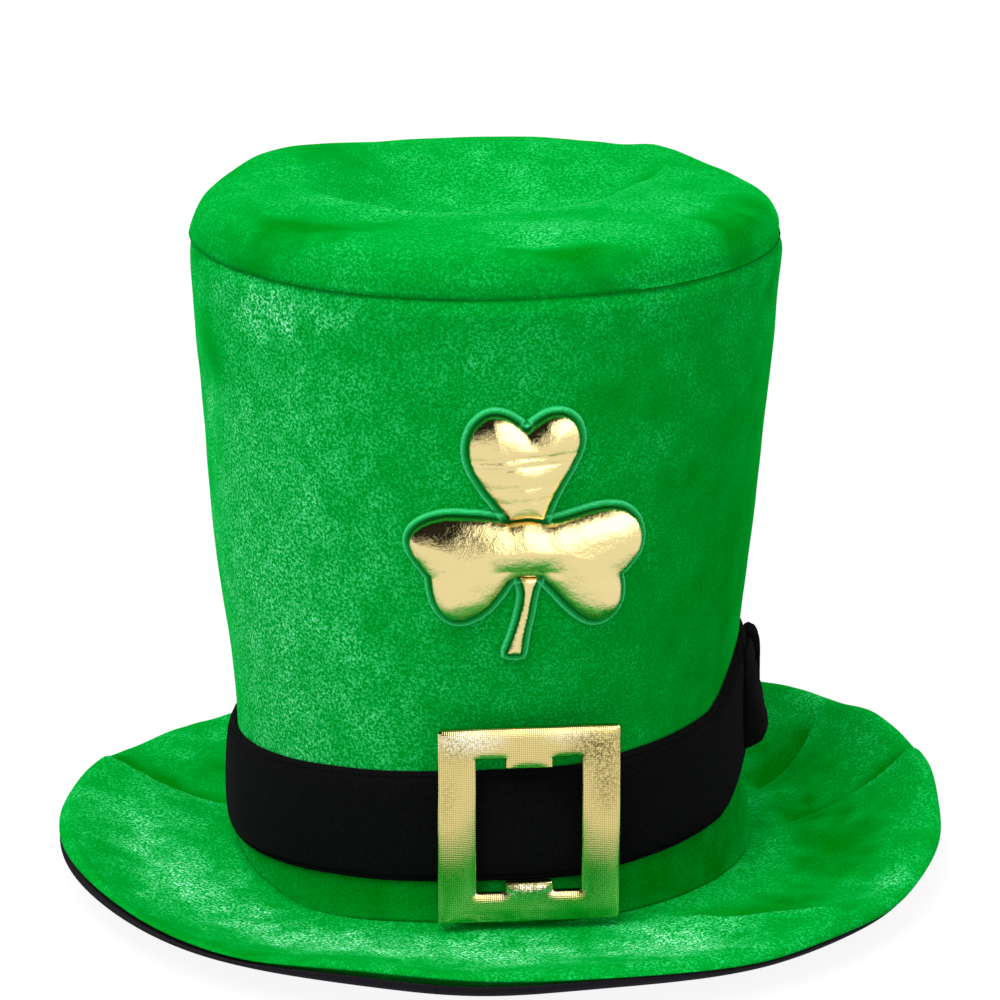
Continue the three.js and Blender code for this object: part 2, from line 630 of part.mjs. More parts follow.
// Outline of the leaf that stands on the hub, whose foot is the seam along the hub's edge
function standingOutline(leaf, count) {
  const seam = SHAMROCK_HUB * SHAMROCK_WIDTH + GAP;
  const whole = leafOutline(leaf, 0);
  const beyond = whole.filter((p) => p.length() > seam);
  const last = whole.findIndex((p) => p === beyond[0]);
  const half = Math.abs(turnBetween(THREE.MathUtils.radToDeg(whole[last].angle()), leaf.angle));
  const foot = Array.from({ length: count }, (_, i) => {
    const angle = rad(leaf.angle - half + ((i + 0.5) / count) * 2 * half);
    return new THREE.Vector2(seam * Math.cos(angle), seam * Math.sin(angle));
  });
  return [...beyond, ...foot];
}

// Pad over an outline: level underneath, and domed above an edge of its own height
function pad(outline, centre, rings, { low, edge, puff }) {
  const at = (p, share) => centre.clone().lerp(p, share);
  const dome = (share) => low + edge + puff * Math.sqrt(1 - share * share);
  const points = [
    ...rings.flatMap((share) => outline.map((p) => [at(p, share), dome(share)])),
    ...rings.flatMap((share) => outline.map((p) => [at(p, share), low])),
    [centre, dome(0)],
    [centre, low],
  ].map(([p, out]) => wrapped(p.x, p.y, out));
  const size = outline.length;
  const inner = rings.length - 1;
  const index = (layer, i, j) => layer * size * rings.length + i * size + (j % size);
  const triangles = [];
  for (let j = 0; j < size; j += 1) {
    for (let i = 0; i < inner; i += 1) {
      triangles.push([index(0, i, j), index(0, i, j + 1), index(0, i + 1, j)]);
      triangles.push([index(0, i, j + 1), index(0, i + 1, j + 1), index(0, i + 1, j)]);
      triangles.push([index(1, i, j), index(1, i + 1, j), index(1, i, j + 1)]);
      triangles.push([index(1, i, j + 1), index(1, i + 1, j), index(1, i + 1, j + 1)]);
    }
    triangles.push([index(0, inner, j), index(0, inner, j + 1), points.length - 2]);
    triangles.push([index(1, inner, j + 1), index(1, inner, j), points.length - 1]);
    triangles.push([index(0, 0, j + 1), index(0, 0, j), index(1, 0, j)]);
    triangles.push([index(0, 0, j + 1), index(1, 0, j), index(1, 0, j + 1)]);
  }
  return solid(points, triangles);
}

function stemStrap(grown, start, low, high) {
  return strapSolid(STEM.map(({ down, across, wide }, i) => {
    const end = i === STEM.length - 1 ? grown : 0;
    const up = -start - down * STEM_LENGTH - end;
    const middle = across * STEM_LENGTH;
    const half = (wide * STEM_LENGTH) / 2 + grown;
    const ridge = half * STEM_RIDGE;
    return [[-half, low], [half, low], [ridge, high], [-ridge, high]].map(
      ([s, out]) => wrapped(middle + s, up, out));
  }));
}

const LEAF_EDGE = 1;
const LEAF_MIDDLE = 0.65;
const STEM_RIDGE = 0.8;
const STEM_PUFF = 0.3;
const BORDER_RAYS = 48;
const SIDE_LEAF_RAYS = 36;
const ON_BORDER = GAP + BORDER_THICKNESS + GAP;
const STEM_START = SHAMROCK_HUB * SHAMROCK_WIDTH + GAP;
const GOLD_PAD = { low: ON_BORDER, edge: LEAF_EDGE, puff: SHAMROCK_PUFF };
const [TOP_LEAF, ...SIDE_LEAVES] = LEAVES;

// The stem's part of the border is a little thinner than the leaves' part, and joins it
function shamrockBorder() {
  const outline = clusterOutline(LEAVES, BORDER_WIDTH, BORDER_RAYS);
  const plate = { low: GAP, edge: BORDER_THICKNESS, puff: 0 };
  const leaves = pad(outline, new THREE.Vector2(), [1, 0.75, 0.5, 0.25], plate);
  const step = BORDER_THICKNESS / 6;
  const stem = stemStrap(BORDER_WIDTH, STEM_START, GAP + step, GAP + BORDER_THICKNESS - step);
  return toGeometry(toManifold(leaves).add(toManifold(stem)));
}

function shamrockTopLeaf() {
  const centre = new THREE.Vector2(0, TOP_LEAF.length * SHAMROCK_WIDTH * LEAF_MIDDLE);
  return pad(standingOutline(TOP_LEAF, 4), centre, [1, 0.75, 0.4], GOLD_PAD);
}

function shamrockSideLeaves() {
  const outline = clusterOutline(SIDE_LEAVES, 0, SIDE_LEAF_RAYS);
  return pad(outline, new THREE.Vector2(), [1, 0.82, 0.62, 0.42, 0.21], GOLD_PAD);
}

function shamrockStem() {
  return stemStrap(0, STEM_START, ON_BORDER, ON_BORDER + LEAF_EDGE + SHAMROCK_PUFF * STEM_PUFF);
}

// The hat
const VELVET = { color: 0x009b32, roughness: 0.85, metalness: 0 };
const BLACK_CLOTH = { color: 0x0b0b0c, roughness: 0.9, metalness: 0 };
const GOLD_FOIL = { color: 0xd9bf6a, roughness: 0.3, metalness: 1 };

const PIECES = [
  { name: 'brim_top', shape: brimTop(), finish: VELVET },
  { name: 'brim_underside', shape: brimUnderside(), finish: BLACK_CLOTH },
  { name: 'crown_side', shape: crownSide(), finish: VELVET },
  { name: 'crown_top', shape: crownTop(), finish: VELVET },
  { name: 'hat_band', shape: hatBand(), finish: BLACK_CLOTH },
  { name: 'bow_front_loop', shape: bowLoop(-1), finish: BLACK_CLOTH },
  { name: 'bow_back_loop', shape: bowLoop(1), finish: BLACK_CLOTH },
  { name: 'bow_knot', shape: bowKnot(), finish: BLACK_CLOTH },
  { name: 'buckle', shape: buckle(), finish: GOLD_FOIL, place: placeBuckle },
  { name: 'shamrock_border', shape: shamrockBorder(), finish: VELVET },
  { name: 'shamrock_top_leaf', shape: shamrockTopLeaf(), finish: GOLD_FOIL },
  { name: 'shamrock_side_leaves', shape: shamrockSideLeaves(), finish: GOLD_FOIL },
  { name: 'shamrock_stem', shape: shamrockStem(), finish: GOLD_FOIL },
];

const hat = new THREE.Group();
for (const { name, shape, finish, place } of PIECES) {
  const mesh = new THREE.Mesh(shape, new THREE.MeshStandardMaterial(finish));
  mesh.name = name;
  if (place) place(mesh);
  hat.add(mesh);
}

export default hat;
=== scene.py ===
"""A leprechaun hat in green velvet: the finish of every piece, made around the hat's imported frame.

Places and sizes in the tables are in millimetres. The front of the hat is at -Y, and an azimuth runs in
degrees from 0 at the front to 90 at the hat's +X side.
"""
import math
from collections import namedtuple
from functools import lru_cache

import bmesh
import bpy
import numpy as np
from bpy.props import FloatProperty, FloatVectorProperty, PointerProperty
from mathutils import Matrix, Vector, noise
from mathutils.bvhtree import BVHTree
from mathutils.geometry import delaunay_2d_cdt


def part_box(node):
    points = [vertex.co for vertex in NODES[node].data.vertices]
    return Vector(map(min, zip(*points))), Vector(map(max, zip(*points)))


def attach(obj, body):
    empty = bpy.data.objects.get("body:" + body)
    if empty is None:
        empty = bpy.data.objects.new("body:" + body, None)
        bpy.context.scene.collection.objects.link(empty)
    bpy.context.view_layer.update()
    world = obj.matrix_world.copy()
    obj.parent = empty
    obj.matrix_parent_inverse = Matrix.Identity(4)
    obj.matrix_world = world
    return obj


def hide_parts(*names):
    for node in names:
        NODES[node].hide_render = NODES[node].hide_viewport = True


bl_info = {
    "name": "Leprechaun Hat",
    "version": (1, 0, 0),
    "blender": (4, 5, 0),
    "location": "View3D > Sidebar > Hat",
    "description": "Velvet crown and brim, band, bow, buckle and shamrock of a costume hat",
    "category": "Object",
}

MM = 0.001

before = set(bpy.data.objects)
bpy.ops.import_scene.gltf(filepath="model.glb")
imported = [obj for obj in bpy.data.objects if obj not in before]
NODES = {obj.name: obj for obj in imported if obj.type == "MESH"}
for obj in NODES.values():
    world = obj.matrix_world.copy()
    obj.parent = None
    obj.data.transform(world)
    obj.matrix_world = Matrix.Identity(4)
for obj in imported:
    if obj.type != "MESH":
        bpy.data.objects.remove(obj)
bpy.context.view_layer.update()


def srgb(code):
    """Linear colour, with alpha, of an sRGB hex value."""
    channels = [int(code[i:i + 2], 16) / 255 for i in (0, 2, 4)]
    linear = [c / 12.92 if c <= 0.04045 else ((c + 0.055) / 1.055) ** 2.4 for c in channels]
    return (*linear, 1.0)


def length(name, description, default):
    """A length in millimetres that a user may change."""
    return FloatProperty(name=name, description=description, default=default * MM, unit="LENGTH", precision=4)


def colour(name, description, code):
    """A colour that a user may change."""
    return FloatVectorProperty(
        name=name, description=description, default=srgb(code), size=4, subtype="COLOR", min=0, max=1)


# Sizes and colours that a user would change

class HatVelvet(bpy.types.PropertyGroup):
    """Colours of the pile, with its painted shade, painted light and painted glints"""
    # Painted shade: the pile's colour where it is shaded
    deep: colour("Deep", "Pile that leans away from the light", "006C06")
    mid: colour("Mid", "Pile that stands up", "00922D")
    # Painted light: the pile's colour where it is lit
    light: colour("Light", "Pile that leans to the light", "18B964")
    # Painted glints: bright specks where the painted light is strongest
    painted_pile_glint: colour("Tip", "Tips of the pile that catch the light", "B4F7CF")
    sheen: colour("Sheen", "Tint of the pile at a glancing angle", "00FF5A")


class HatCrown(bpy.types.PropertyGroup):
    """Sizes of the crown's softness"""
    seam_pull: length("Seam pull", "How far the seam draws the velvet in", 1.8)
    ripple: length("Ripple", "Height of the soft unevenness of the wall", 0.7)


class HatBrim(bpy.types.PropertyGroup):
    """Sizes of the brim's softness"""
    ripple: length("Ripple", "Height of the soft unevenness of the padding", 0.9)


class HatBand(bpy.types.PropertyGroup):
    """Sizes of the band"""
    thickness: length("Thickness", "How far the band stands out from the crown", 4.6)
    stitch_inset: length("Stitch inset", "From the band's edge to its stitching", 2.2)
    stitch_groove: length("Stitch groove", "Depth that the stitching draws in", 0.7)


class HatBuckle(bpy.types.PropertyGroup):
    """Sizes of the buckle"""
    turn: FloatProperty(
        name="Turn", description="Way that the buckle faces", default=math.radians(6), subtype="ANGLE")
    corner: length("Corner", "Radius of the outer corners", 1.6)
    edge: length("Edge", "Radius of the wrapped edges", 0.8)
    dome: length("Dome", "Height of the padding between the edges", 0.9)


class HatShamrock(bpy.types.PropertyGroup):
    """Sizes of the shamrock"""
    puff: length("Puff", "Height of the padded leaves over their stitched edge", 5.4)
    border: length("Border", "Width of the green border", 2.7)


# Shapes

def smooth(x):
    """Smooth step from 0 to 1."""
    x = np.clip(x, 0.0, 1.0)
    return x * x * (3.0 - 2.0 * x)


def bump(x):
    """1 in the middle, sloping smoothly to 0 at 1 and -1."""
    return 1.0 - smooth(np.abs(x))


def bell(x):
    """1 in the middle, falling off without an end on both sides."""
    return np.exp(-(x ** 2))


def between(x, start, rise, end, fall):
    """1 between a start and an end, rising smoothly after the one and falling smoothly before the other."""
    return smooth((x - start) / rise) * smooth((end - x) / fall)


def patched(first, second, patches, ragged=0.0):
    """Sum of soft patches at points with two coordinates, of which the first may be an azimuth. A patch is
    its place, its size and how much it adds in its middle."""
    total = np.zeros(len(first))
    for place, along, wide, tall, much in patches:
        away = np.hypot(turned(first, place) / wide, (second - along) / tall)
        total += much * bump(away + ragged)
    return total


def turned(a, b):
    """The turn from azimuth b to azimuth a, from -180 to 180."""
    return (a - b + 180.0) % 360.0 - 180.0


def ripple(points, size, seed):
    """Soft random heights from -1 to 1 for points in millimetres, with waves of a size."""
    shift = Vector((seed, 2.0 * seed, 3.0 * seed))
    return np.array([noise.noise(Vector(point) / size + shift) for point in points])


def node_points(name):
    """A CAD node's points in millimetres."""
    points = np.empty(len(NODES[name].data.vertices) * 3)
    NODES[name].data.vertices.foreach_get("co", points)
    return points.reshape(-1, 3) / MM


def middle_of(name):
    """The middle of a CAD node's box, in millimetres."""
    low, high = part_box(name)
    return (low + high) / (2 * MM)


CROWN_X = middle_of("crown_side").x


def polar(points, middle=CROWN_X):
    """Azimuth and distance of points about the crown's middle, or about another place across."""
    x, y = points[:, 0] - middle, points[:, 1]
    return np.degrees(np.arctan2(x, -y)), np.hypot(x, y)


def points_of(piece):
    """A piece's points in millimetres."""
    return np.array([vertex.co / MM for vertex in piece.data.vertices])


def write(piece, name, values):
    """Writes a value to each point, for the piece's material."""
    layer = piece.data.attributes.new(name, "FLOAT", "POINT")
    layer.data.foreach_set("value", values)


def outward(azimuth):
    """Level way out from the crown's middle, as rows."""
    turn = np.radians(azimuth)
    return np.stack([np.sin(turn), -np.cos(turn), np.zeros_like(turn)], axis=-1)


def new_object(name, mesh):
    """An object at the origin, shaded smooth."""
    piece = bpy.data.objects.new(name, mesh)
    bpy.context.scene.collection.objects.link(piece)
    mesh.shade_smooth()
    return piece


def cage(node, name, corner=180):
    """A copy of a CAD node's mesh, merged and in quads. Edges that turn by more degrees than a corner stay
    sharp."""
    mesh = NODES[node].data.copy()
    mesh.name = name
    mesh.materials.clear()
    shape = bmesh.new()
    shape.from_mesh(mesh)
    bmesh.ops.remove_doubles(shape, verts=shape.verts, dist=0.01 * MM)
    bmesh.ops.join_triangles(
        shape, faces=shape.faces, angle_face_threshold=math.radians(50),
        angle_shape_threshold=math.radians(60))
    bmesh.ops.recalc_face_normals(shape, faces=shape.faces)
    crease = shape.edges.layers.float.new("crease_edge")
    for edge in shape.edges:
        edge[crease] = float(edge.calc_face_angle(0.0) > math.radians(corner))
    shape.to_mesh(mesh)
    shape.free()
    return new_object(name, mesh)


def select_only(piece):
    """Makes one object the active and only selected one."""
    bpy.ops.object.select_all(action="DESELECT")
    piece.select_set(True)
    bpy.context.view_layer.objects.active = piece


def subdivide(piece, levels):
    """Rounds a cage by a Subdivision Surface modifier that is applied."""
    select_only(piece)
    modifier = piece.modifiers.new("round", "SUBSURF")
    modifier.levels = levels
    modifier.render_levels = levels
    bpy.ops.object.modifier_apply(modifier=modifier.name)
    piece.data.shade_smooth()
    return piece


def reshape(piece, change):
    """Moves a mesh's points by a function of their places, in millimetres, and their normals."""
    vertices = piece.data.vertices
    places = np.empty(len(vertices) * 3)
    normals = np.empty(len(vertices) * 3)
    vertices.foreach_get("co", places)
    vertices.foreach_get("normal", normals)
    moved = change(places.reshape(-1, 3) / MM, normals.reshape(-1, 3))
    vertices.foreach_set("co", (moved * MM).ravel())
    piece.data.update()


def paint_light_and_nap(piece, patches, flat, fold_shading):
    """Writes painted light and shade, partly pile tone, from -1 to 1: above 0 painted light, below 0 painted
    shade. flat gives the two coordinates of patches to each point, and the last function gives the painted
    light and shade along folds."""
    points = points_of(piece)
    ragged = 0.3 * ripple(points, 9.0, 4.4)
    write(piece, "painted_light_and_nap", np.clip(fold_shading(points) + patched(*flat(points), patches, ragged), -1.0, 1.0))


def loft(name, rows, ring=True):
    """Closed sections joined into a ring, or into a stack with its two ends closed."""
    count, size = rows.shape[:2]
    faces = []
    for i in range(count if ring else count - 1):
        here, ahead = i * size, (i + 1) % count * size
        for j in range(size):
            side = (j + 1) % size
            faces.append((here + j, here + side, ahead + side, ahead + j))
    if not ring:
        faces += [tuple(range(size)), tuple(range((count - 1) * size, count * size))]
    return solid(name, rows.reshape(-1, 3), faces)


def solid(name, places, faces):
    """A closed mesh of places in millimetres, faced outwards."""
    mesh = bpy.data.meshes.new(name)
    mesh.from_pydata((places * MM).tolist(), [], faces)
    return turn_outwards(new_object(name, mesh))


def turn_outwards(piece):
    """Faces a closed mesh outwards."""
    shape = bmesh.new()
    shape.from_mesh(piece.data)
    bmesh.ops.recalc_face_normals(shape, faces=shape.faces)
    shape.to_mesh(piece.data)
    shape.free()
    piece.data.shade_smooth()
    return piece


def dress(piece, slot, *nodes):
    """Seats a finished piece on the hat's body in place of its CAD nodes."""
    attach(piece, "root")
    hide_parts(*nodes)


BAND_TOP = 85.0


def wall_stand(height):
    """How far the padding stands out from the crown's cage at heights."""
    return 1.5 * smooth((height - BAND_TOP) / 50.0) - 0.9 * smooth((height - 205.0) / 30.0)


@lru_cache
def wall_surface():
    """The crown's outer wall, rounded, for what is seated on it."""
    wall = subdivide(cage("crown_side", "seat", 50), 3)
    reshape(wall, lambda points, normals: (
        points + outward(polar(points)[0]) * wall_stand(points[:, 2])[:, None]))
    tree = BVHTree.FromPolygons(
        points_of(wall).tolist(), [tuple(face.vertices) for face in wall.data.polygons])
    bpy.data.meshes.remove(wall.data)
    return tree


OUTSIDE = 200.0


def on_wall(azimuth, height, out):
    """Points off the crown's wall, at azimuths and heights, out by distances."""
    azimuth, height, out = np.broadcast_arrays(azimuth, height, out)
    ways = outward(azimuth.ravel())
    tree = wall_surface()
    places = []
    for way, z, stand in zip(ways, height.ravel(), out.ravel()):
        start = Vector((CROWN_X, 0.0, z)) + Vector(way) * OUTSIDE
        hit = tree.ray_cast(start, -Vector(way))[0]
        places.append(hit + Vector(way) * stand)
    return np.array(places).reshape(*azimuth.shape, 3)


# Materials

def add(tree, kind, inputs=None, **settings):
    """Adds a shader node with its settings, and links or sets its inputs. A node among the inputs stands for
    its first output."""
    node = tree.nodes.new("ShaderNode" + kind)
    for name, value in settings.items():
        setattr(node, name, value)
    for name, value in (inputs or {}).items():
        if isinstance(value, bpy.types.Node):
            value = value.outputs[0]
        if isinstance(value, bpy.types.NodeSocket):
            tree.links.new(value, node.inputs[name])
        else:
            node.inputs[name].default_value = value
    return node


def new_material(name):
    """An empty material and its node tree."""
    material = bpy.data.materials.new(name)
    material.use_nodes = True
    material.node_tree.nodes.clear()
    return material, material.node_tree


def finish_material(material, shading):
    """Adds the shader of the surface with its settings, and gives back the finished material."""
    surface = add(material.node_tree, "BsdfPrincipled", shading)
    add(material.node_tree, "OutputMaterial", {"Surface": surface})
    return material


def object_millimetres(tree):
    """Places on the object in millimetres, so that a pattern's scale is one over its real size."""
    place = add(tree, "TexCoord").outputs["Object"]
    return add(tree, "VectorMath", {0: place, 1: (1 / MM,) * 3}, operation="MULTIPLY")


def crushed_velvet(name, sizes, mottle):
    """Polyester crushed velvet: upright pile that leans in patches, so it looks mottled, with painted light,
    painted shade and painted glints from a value written on each piece, and a green sheen where it is seen
    along the pile."""
    material, tree = new_material(name)
    place = object_millimetres(tree)
    # Painted light and shade, partly pile tone, written on each piece: above 0 painted light, below 0 painted
    # shade
    painted_light_and_nap = add(tree, "Attribute", attribute_name="painted_light_and_nap").outputs["Fac"]
    # Patches of leaning pile are 8 to 20 mm wide
    patches = add(tree, "TexNoise", {"Vector": place, "Scale": 1 / 16, "Detail": 4.0, "Roughness": 0.6})
    mottled = add(tree, "MapRange", {
        "Value": patches, "From Min": 0.3, "From Max": 0.7, "To Min": -mottle, "To Max": mottle})
    brightness = add(tree, "Math", {0: painted_light_and_nap, 1: mottled}, operation="ADD")
    lit = add(tree, "MapRange", {"Value": brightness, "From Min": -0.1, "From Max": 1.1})
    # Tufts are 0.3 mm, drawn 1 mm wide to show
    tufts = add(tree, "TexNoise", {"Vector": place, "Scale": 1 / 1.0, "Detail": 2.0, "Roughness": 0.7})
    grain = add(tree, "MapRange", {
        "Value": tufts, "From Min": 0.36, "From Max": 0.64, "To Min": -1.5, "To Max": 1.5})
    # The grain shows more strongly where the pile is painted lit
    rough = add(tree, "MapRange", {
        "Value": brightness, "From Min": -0.4, "From Max": 0.8, "To Min": 0.15, "To Max": 0.85})
    grained = add(tree, "Math", {0: grain, 1: rough, 2: brightness}, operation="MULTIPLY_ADD")
    # Painted shade draws the pile towards the deep colour, painted light towards the light colour
    rising = add(tree, "MapRange", {"Value": grained, "From Min": -1.0, "From Max": 0.3})
    painted_light_share = add(tree, "MapRange", {"Value": grained, "From Min": 0.1, "From Max": 1.6})
    dark = add(tree, "Mix", {"Factor": rising, 6: tuple(sizes.deep), 7: tuple(sizes.mid)}, data_type="RGBA")
    pile = add(tree, "Mix", {
        "Factor": painted_light_share, 6: dark.outputs[2], 7: tuple(sizes.light)}, data_type="RGBA")
    # Painted glints: the pale tip colour on the grain where the painted light is strongest
    glints = add(tree, "MapRange", {"Value": tufts, "From Min": 0.52, "From Max": 0.64})
    caught = add(tree, "Math", {0: lit, 1: 2.6}, operation="POWER")
    painted_glints = add(tree, "Math", {0: glints, 1: caught}, operation="MULTIPLY")
    glinted_pile = add(tree, "Mix", {"Factor": painted_glints, 6: pile.outputs[2], 7: tuple(sizes.painted_pile_glint)}, data_type="RGBA")
    relief = add(tree, "Bump", {"Height": tufts, "Strength": 0.5, "Distance": 0.3 * MM})
    return finish_material(material, {
        "Base Color": glinted_pile.outputs[2], "Roughness": 0.9, "Specular IOR Level": 0.0,
        "Sheen Weight": 0.22, "Sheen Roughness": 0.35, "Sheen Tint": tuple(sizes.sheen),
        "Normal": relief})


def grained(tree, size, detail, codes, strength, depth):
    """Two colours and a relief that follow one grain. Its size and depth are in millimetres."""
    grain = add(tree, "TexNoise", {"Vector": object_millimetres(tree), "Scale": 1 / size, "Detail": detail})
    tone = add(tree, "Mix", {"Factor": grain, 6: srgb(codes[0]), 7: srgb(codes[1])}, data_type="RGBA")
    relief = add(tree, "Bump", {"Height": grain, "Strength": strength, "Distance": depth * MM})
    return tone.outputs[2], relief


def brushed_knit(name, codes, sheen):
    """Brushed polyester knit: matt and dark, with a fine loop of about 1 mm and a dusty sheen."""
    material, tree = new_material(name)
    tone, relief = grained(tree, 0.9, 2.0, codes, 0.4, 0.2)
    return finish_material(material, {
        "Base Color": tone, "Roughness": 0.9, "Specular IOR Level": 0.0, "Sheen Weight": sheen,
        "Sheen Roughness": 0.5, "Sheen Tint": srgb("B8B8BC"), "Normal": relief})


def foam_backing():
    """Laminated polyurethane foam behind the velvet: matt, with pores of about 1 mm."""
    material, tree = new_material("foam_backing")
    tone, relief = grained(tree, 1.1, 3.0, ("1D1F1E", "333735"), 0.5, 0.3)
    return finish_material(material, {
        "Base Color": tone, "Roughness": 0.95, "Specular IOR Level": 0.2, "Normal": relief})


def gold_foil():
    """Metallised film over padding: a soft mirror with fine crinkles that turn to glitter in the light."""
    material, tree = new_material("gold_foil")
    place = object_millimetres(tree)
    # Crinkles are 0.4 mm, drawn 0.8 mm wide to show, on dents of some 4 mm
    grain = add(tree, "TexNoise", {"Vector": place, "Scale": 1 / 0.8, "Detail": 2.0, "Roughness": 0.9})
    dents = add(tree, "TexNoise", {"Vector": place, "Scale": 1 / 5.0, "Detail": 2.0})
    deep = add(tree, "Bump", {"Height": dents, "Strength": 0.5, "Distance": 0.8 * MM})
    relief = add(tree, "Bump", {"Height": grain, "Strength": 0.8, "Distance": 0.18 * MM, "Normal": deep})
    return finish_material(material, {
        "Base Color": srgb("E6D396"), "Metallic": 1.0, "Roughness": 0.16, "Normal": relief})


def gold_lame():
    """Woven lamé of flat metal thread: a fine grid, with painted dark reflections in patches over the frame
    and painted white glints beside them."""
    material, tree = new_material("gold_lame")
    place = object_millimetres(tree)
    # Threads are 0.35 mm apart, drawn 0.7 mm apart to show. A wave's scale is its lines in some 3.2 units
    waves = {"Vector": place, "Scale": 1 / (0.7 * 3.2), "Distortion": 1.5, "Detail Scale": 2.0}
    across, down = (add(tree, "TexWave", waves, bands_direction=way).outputs[1] for way in "ZX")
    weave = add(tree, "Math", {0: across, 1: down}, operation="ADD")
    laid = add(tree, "MapRange", {"Value": weave, "From Min": 0.2, "From Max": 1.3})
    thread = add(tree, "Mix", {"Factor": laid, 6: srgb("AB9650"), 7: srgb("E6D491")}, data_type="RGBA")
    specks = add(tree, "TexNoise", {"Vector": place, "Scale": 1 / 0.8, "Detail": 2.0, "Roughness": 0.8})
    tone = thread.outputs[2]
    # Painted white glints and painted dark reflections over the weave, where the patches written on the buckle
    # say
    for name, most, least, code in (("painted_thread_glint", 0.44, 0.58, "FFFCEB"), ("painted_dark_reflection", 0.56, 0.44, "2B2408")):
        much = add(tree, "Attribute", attribute_name=name).outputs["Fac"]
        shown = add(tree, "MapRange", {"Value": specks, "From Min": least, "From Max": most})
        share = add(tree, "Math", {0: shown, 1: much}, operation="MULTIPLY")
        tone = add(tree, "Mix", {"Factor": share, 6: tone, 7: srgb(code)}, data_type="RGBA").outputs[2]
    relief = add(tree, "Bump", {"Height": weave, "Strength": 0.2, "Distance": 0.06 * MM})
    return finish_material(material, {
        "Base Color": tone, "Metallic": 1.0, "Roughness": 0.16, "Normal": relief})


def satin_stitch():
    """Rayon satin stitch and the velvet it gathers: a pale cord of side by side threads round a green
    band."""
    material, tree = new_material("satin_stitch")
    cord = add(tree, "Attribute", attribute_name="thread").outputs["Fac"]
    band, relief = grained(tree, 0.5, 1.0, ("00661E", "00A846"), 0.5, 0.2)
    tone = add(tree, "Mix", {"Factor": cord, 6: band, 7: srgb("3CCB80")}, data_type="RGBA")
    return finish_material(material, {
        "Base Color": tone.outputs[2], "Roughness": 0.6, "Specular IOR Level": 0.1, "Sheen Weight": 0.15,
        "Sheen Roughness": 0.4, "Sheen Tint": srgb("40FF90"), "Normal": relief})


# Crown

# Soft dents in the crown's wall: azimuth, height, their two sizes and depth
CROWN_DENTS = [
    (-74, 196, 13, 16, 1.5), (-66, 214, 12, 12, -0.9), (74, 232, 9, 10, 1.6), (-30, 130, 24, 40, 0.8),
    (45, 150, 20, 40, 0.7),
]
SEAM_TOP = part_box("crown_side")[1].z / MM
WALL_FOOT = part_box("crown_side")[0].z / MM
SEAM_REACH = 6.0
# Where the seam nearly vanishes: azimuth, width and share
SEAM_EASES = [
    (-30, 24, 0.7), (-92, 26, 0.85),
]

# Patches of painted light and shade, partly pile tone, on the crown's wall: azimuth, height, their two sizes
#  and how lit, above 0 painted light and below 0 painted shade, as on the shaded right and at the foot
WALL_LIGHT_AND_NAP = [
    (-54, 120, 60, 230, 0.58), (-46, 236, 24, 14, 0.55), (-68, 214, 10, 20, -0.8), (-76, 192, 7, 8, 0.4),
    (6, 224, 14, 20, 0.3), (28, 215, 20, 26, -0.3), (62, 130, 46, 140, -0.6), (75, 232, 9, 9, -0.5),
    (-32, 16, 50, 24, -0.9), (45, 20, 60, 22, -0.8),
]


def seam_pull(sizes, azimuth):
    """How far the seam draws the velvet in at azimuths."""
    pull = np.full_like(azimuth, sizes.seam_pull / MM)
    for place, wide, share in SEAM_EASES:
        pull *= 1 - share * bump(turned(azimuth, place) / wide)
    return pull


def wall_change(sizes):
    """How the crown's wall departs from its rounded cage."""
    def change(points, normals):
        azimuth, _ = polar(points)
        height = points[:, 2]
        ways = outward(azimuth)
        outer = np.clip((normals * ways).sum(axis=1) * 2.0, 0.0, 1.0)
        move = wall_stand(height) - seam_pull(sizes, azimuth) * smooth(1 - (SEAM_TOP - height) / SEAM_REACH)
        move -= patched(azimuth, height, CROWN_DENTS)
        # The cloth lies even behind the band and the shamrock
        aside = np.abs(turned(azimuth, FRONT_AZIMUTH)) / 30.0 + np.abs(height - SHAMROCK_HEIGHT) / 60.0
        free = 0.3 + 0.7 * smooth((height - BAND_TOP) / 20.0)
        soft = ripple(points, 42.0, 3.1) + 0.35 * ripple(points, 15.0, 7.7)
        move += (sizes.ripple / MM) * soft * smooth(aside - 0.8) * free
        moved = points + ways * (move * outer)[:, None]
        # The foot goes down into the brim's pile, so that no slit shows
        moved[:, 2] -= 1.4 * smooth(1 - (height - WALL_FOOT) / 3.0)
        return moved
    return change


# Dips in the crown's top: place across and along, their two sizes and depth
TOP_DIPS = [
    (14.0, -84.0, 26, 14, 1.8), (-46.0, -50.0, 30, 20, 1.4), (60.0, -60.0, 26, 20, -1.0),
    (-76.0, 52.0, 44, 50, -4.0), (56.0, 74.0, 30, 34, -2.2),
]
# Patches of painted light and shade, partly pile tone, on the crown's top: place across and along, their two
# sizes and how lit
TOP_LIGHT_AND_NAP = [
    (-68, -62, 42, 28, -1.0), (18, -70, 44, 26, 0.45), (24, -96, 30, 12, -0.9), (84, -52, 20, 24, -0.8),
    (62, -26, 26, 30, 0.35), (92, -24, 16, 26, -0.8), (-66, 60, 22, 34, -0.6), (0, 50, 70, 60, 0.2),
]
# The hollow's edge: azimuth about its middle, and how far out a ridge hides the hollow from the front
HOLLOW_MIDDLE = (0.0, 35.0, 0.0)
HOLLOW_EDGE = [(-100, 78), (-54, 78), (-37, 75), (-21, 76), (-6, 73), (21, 60), (63, 48), (114, 69),
               (150, 84)]
HOLLOW_DROP = 5.0
HOLLOW_SLOPE = 13.0


def hollow(points):
    """Azimuth of points about the hollow's middle, and how far they are inside the ridge round it."""
    azimuth, reach = polar(points - HOLLOW_MIDDLE, 0.0)
    return azimuth, np.interp(azimuth, *zip(*HOLLOW_EDGE)) - reach


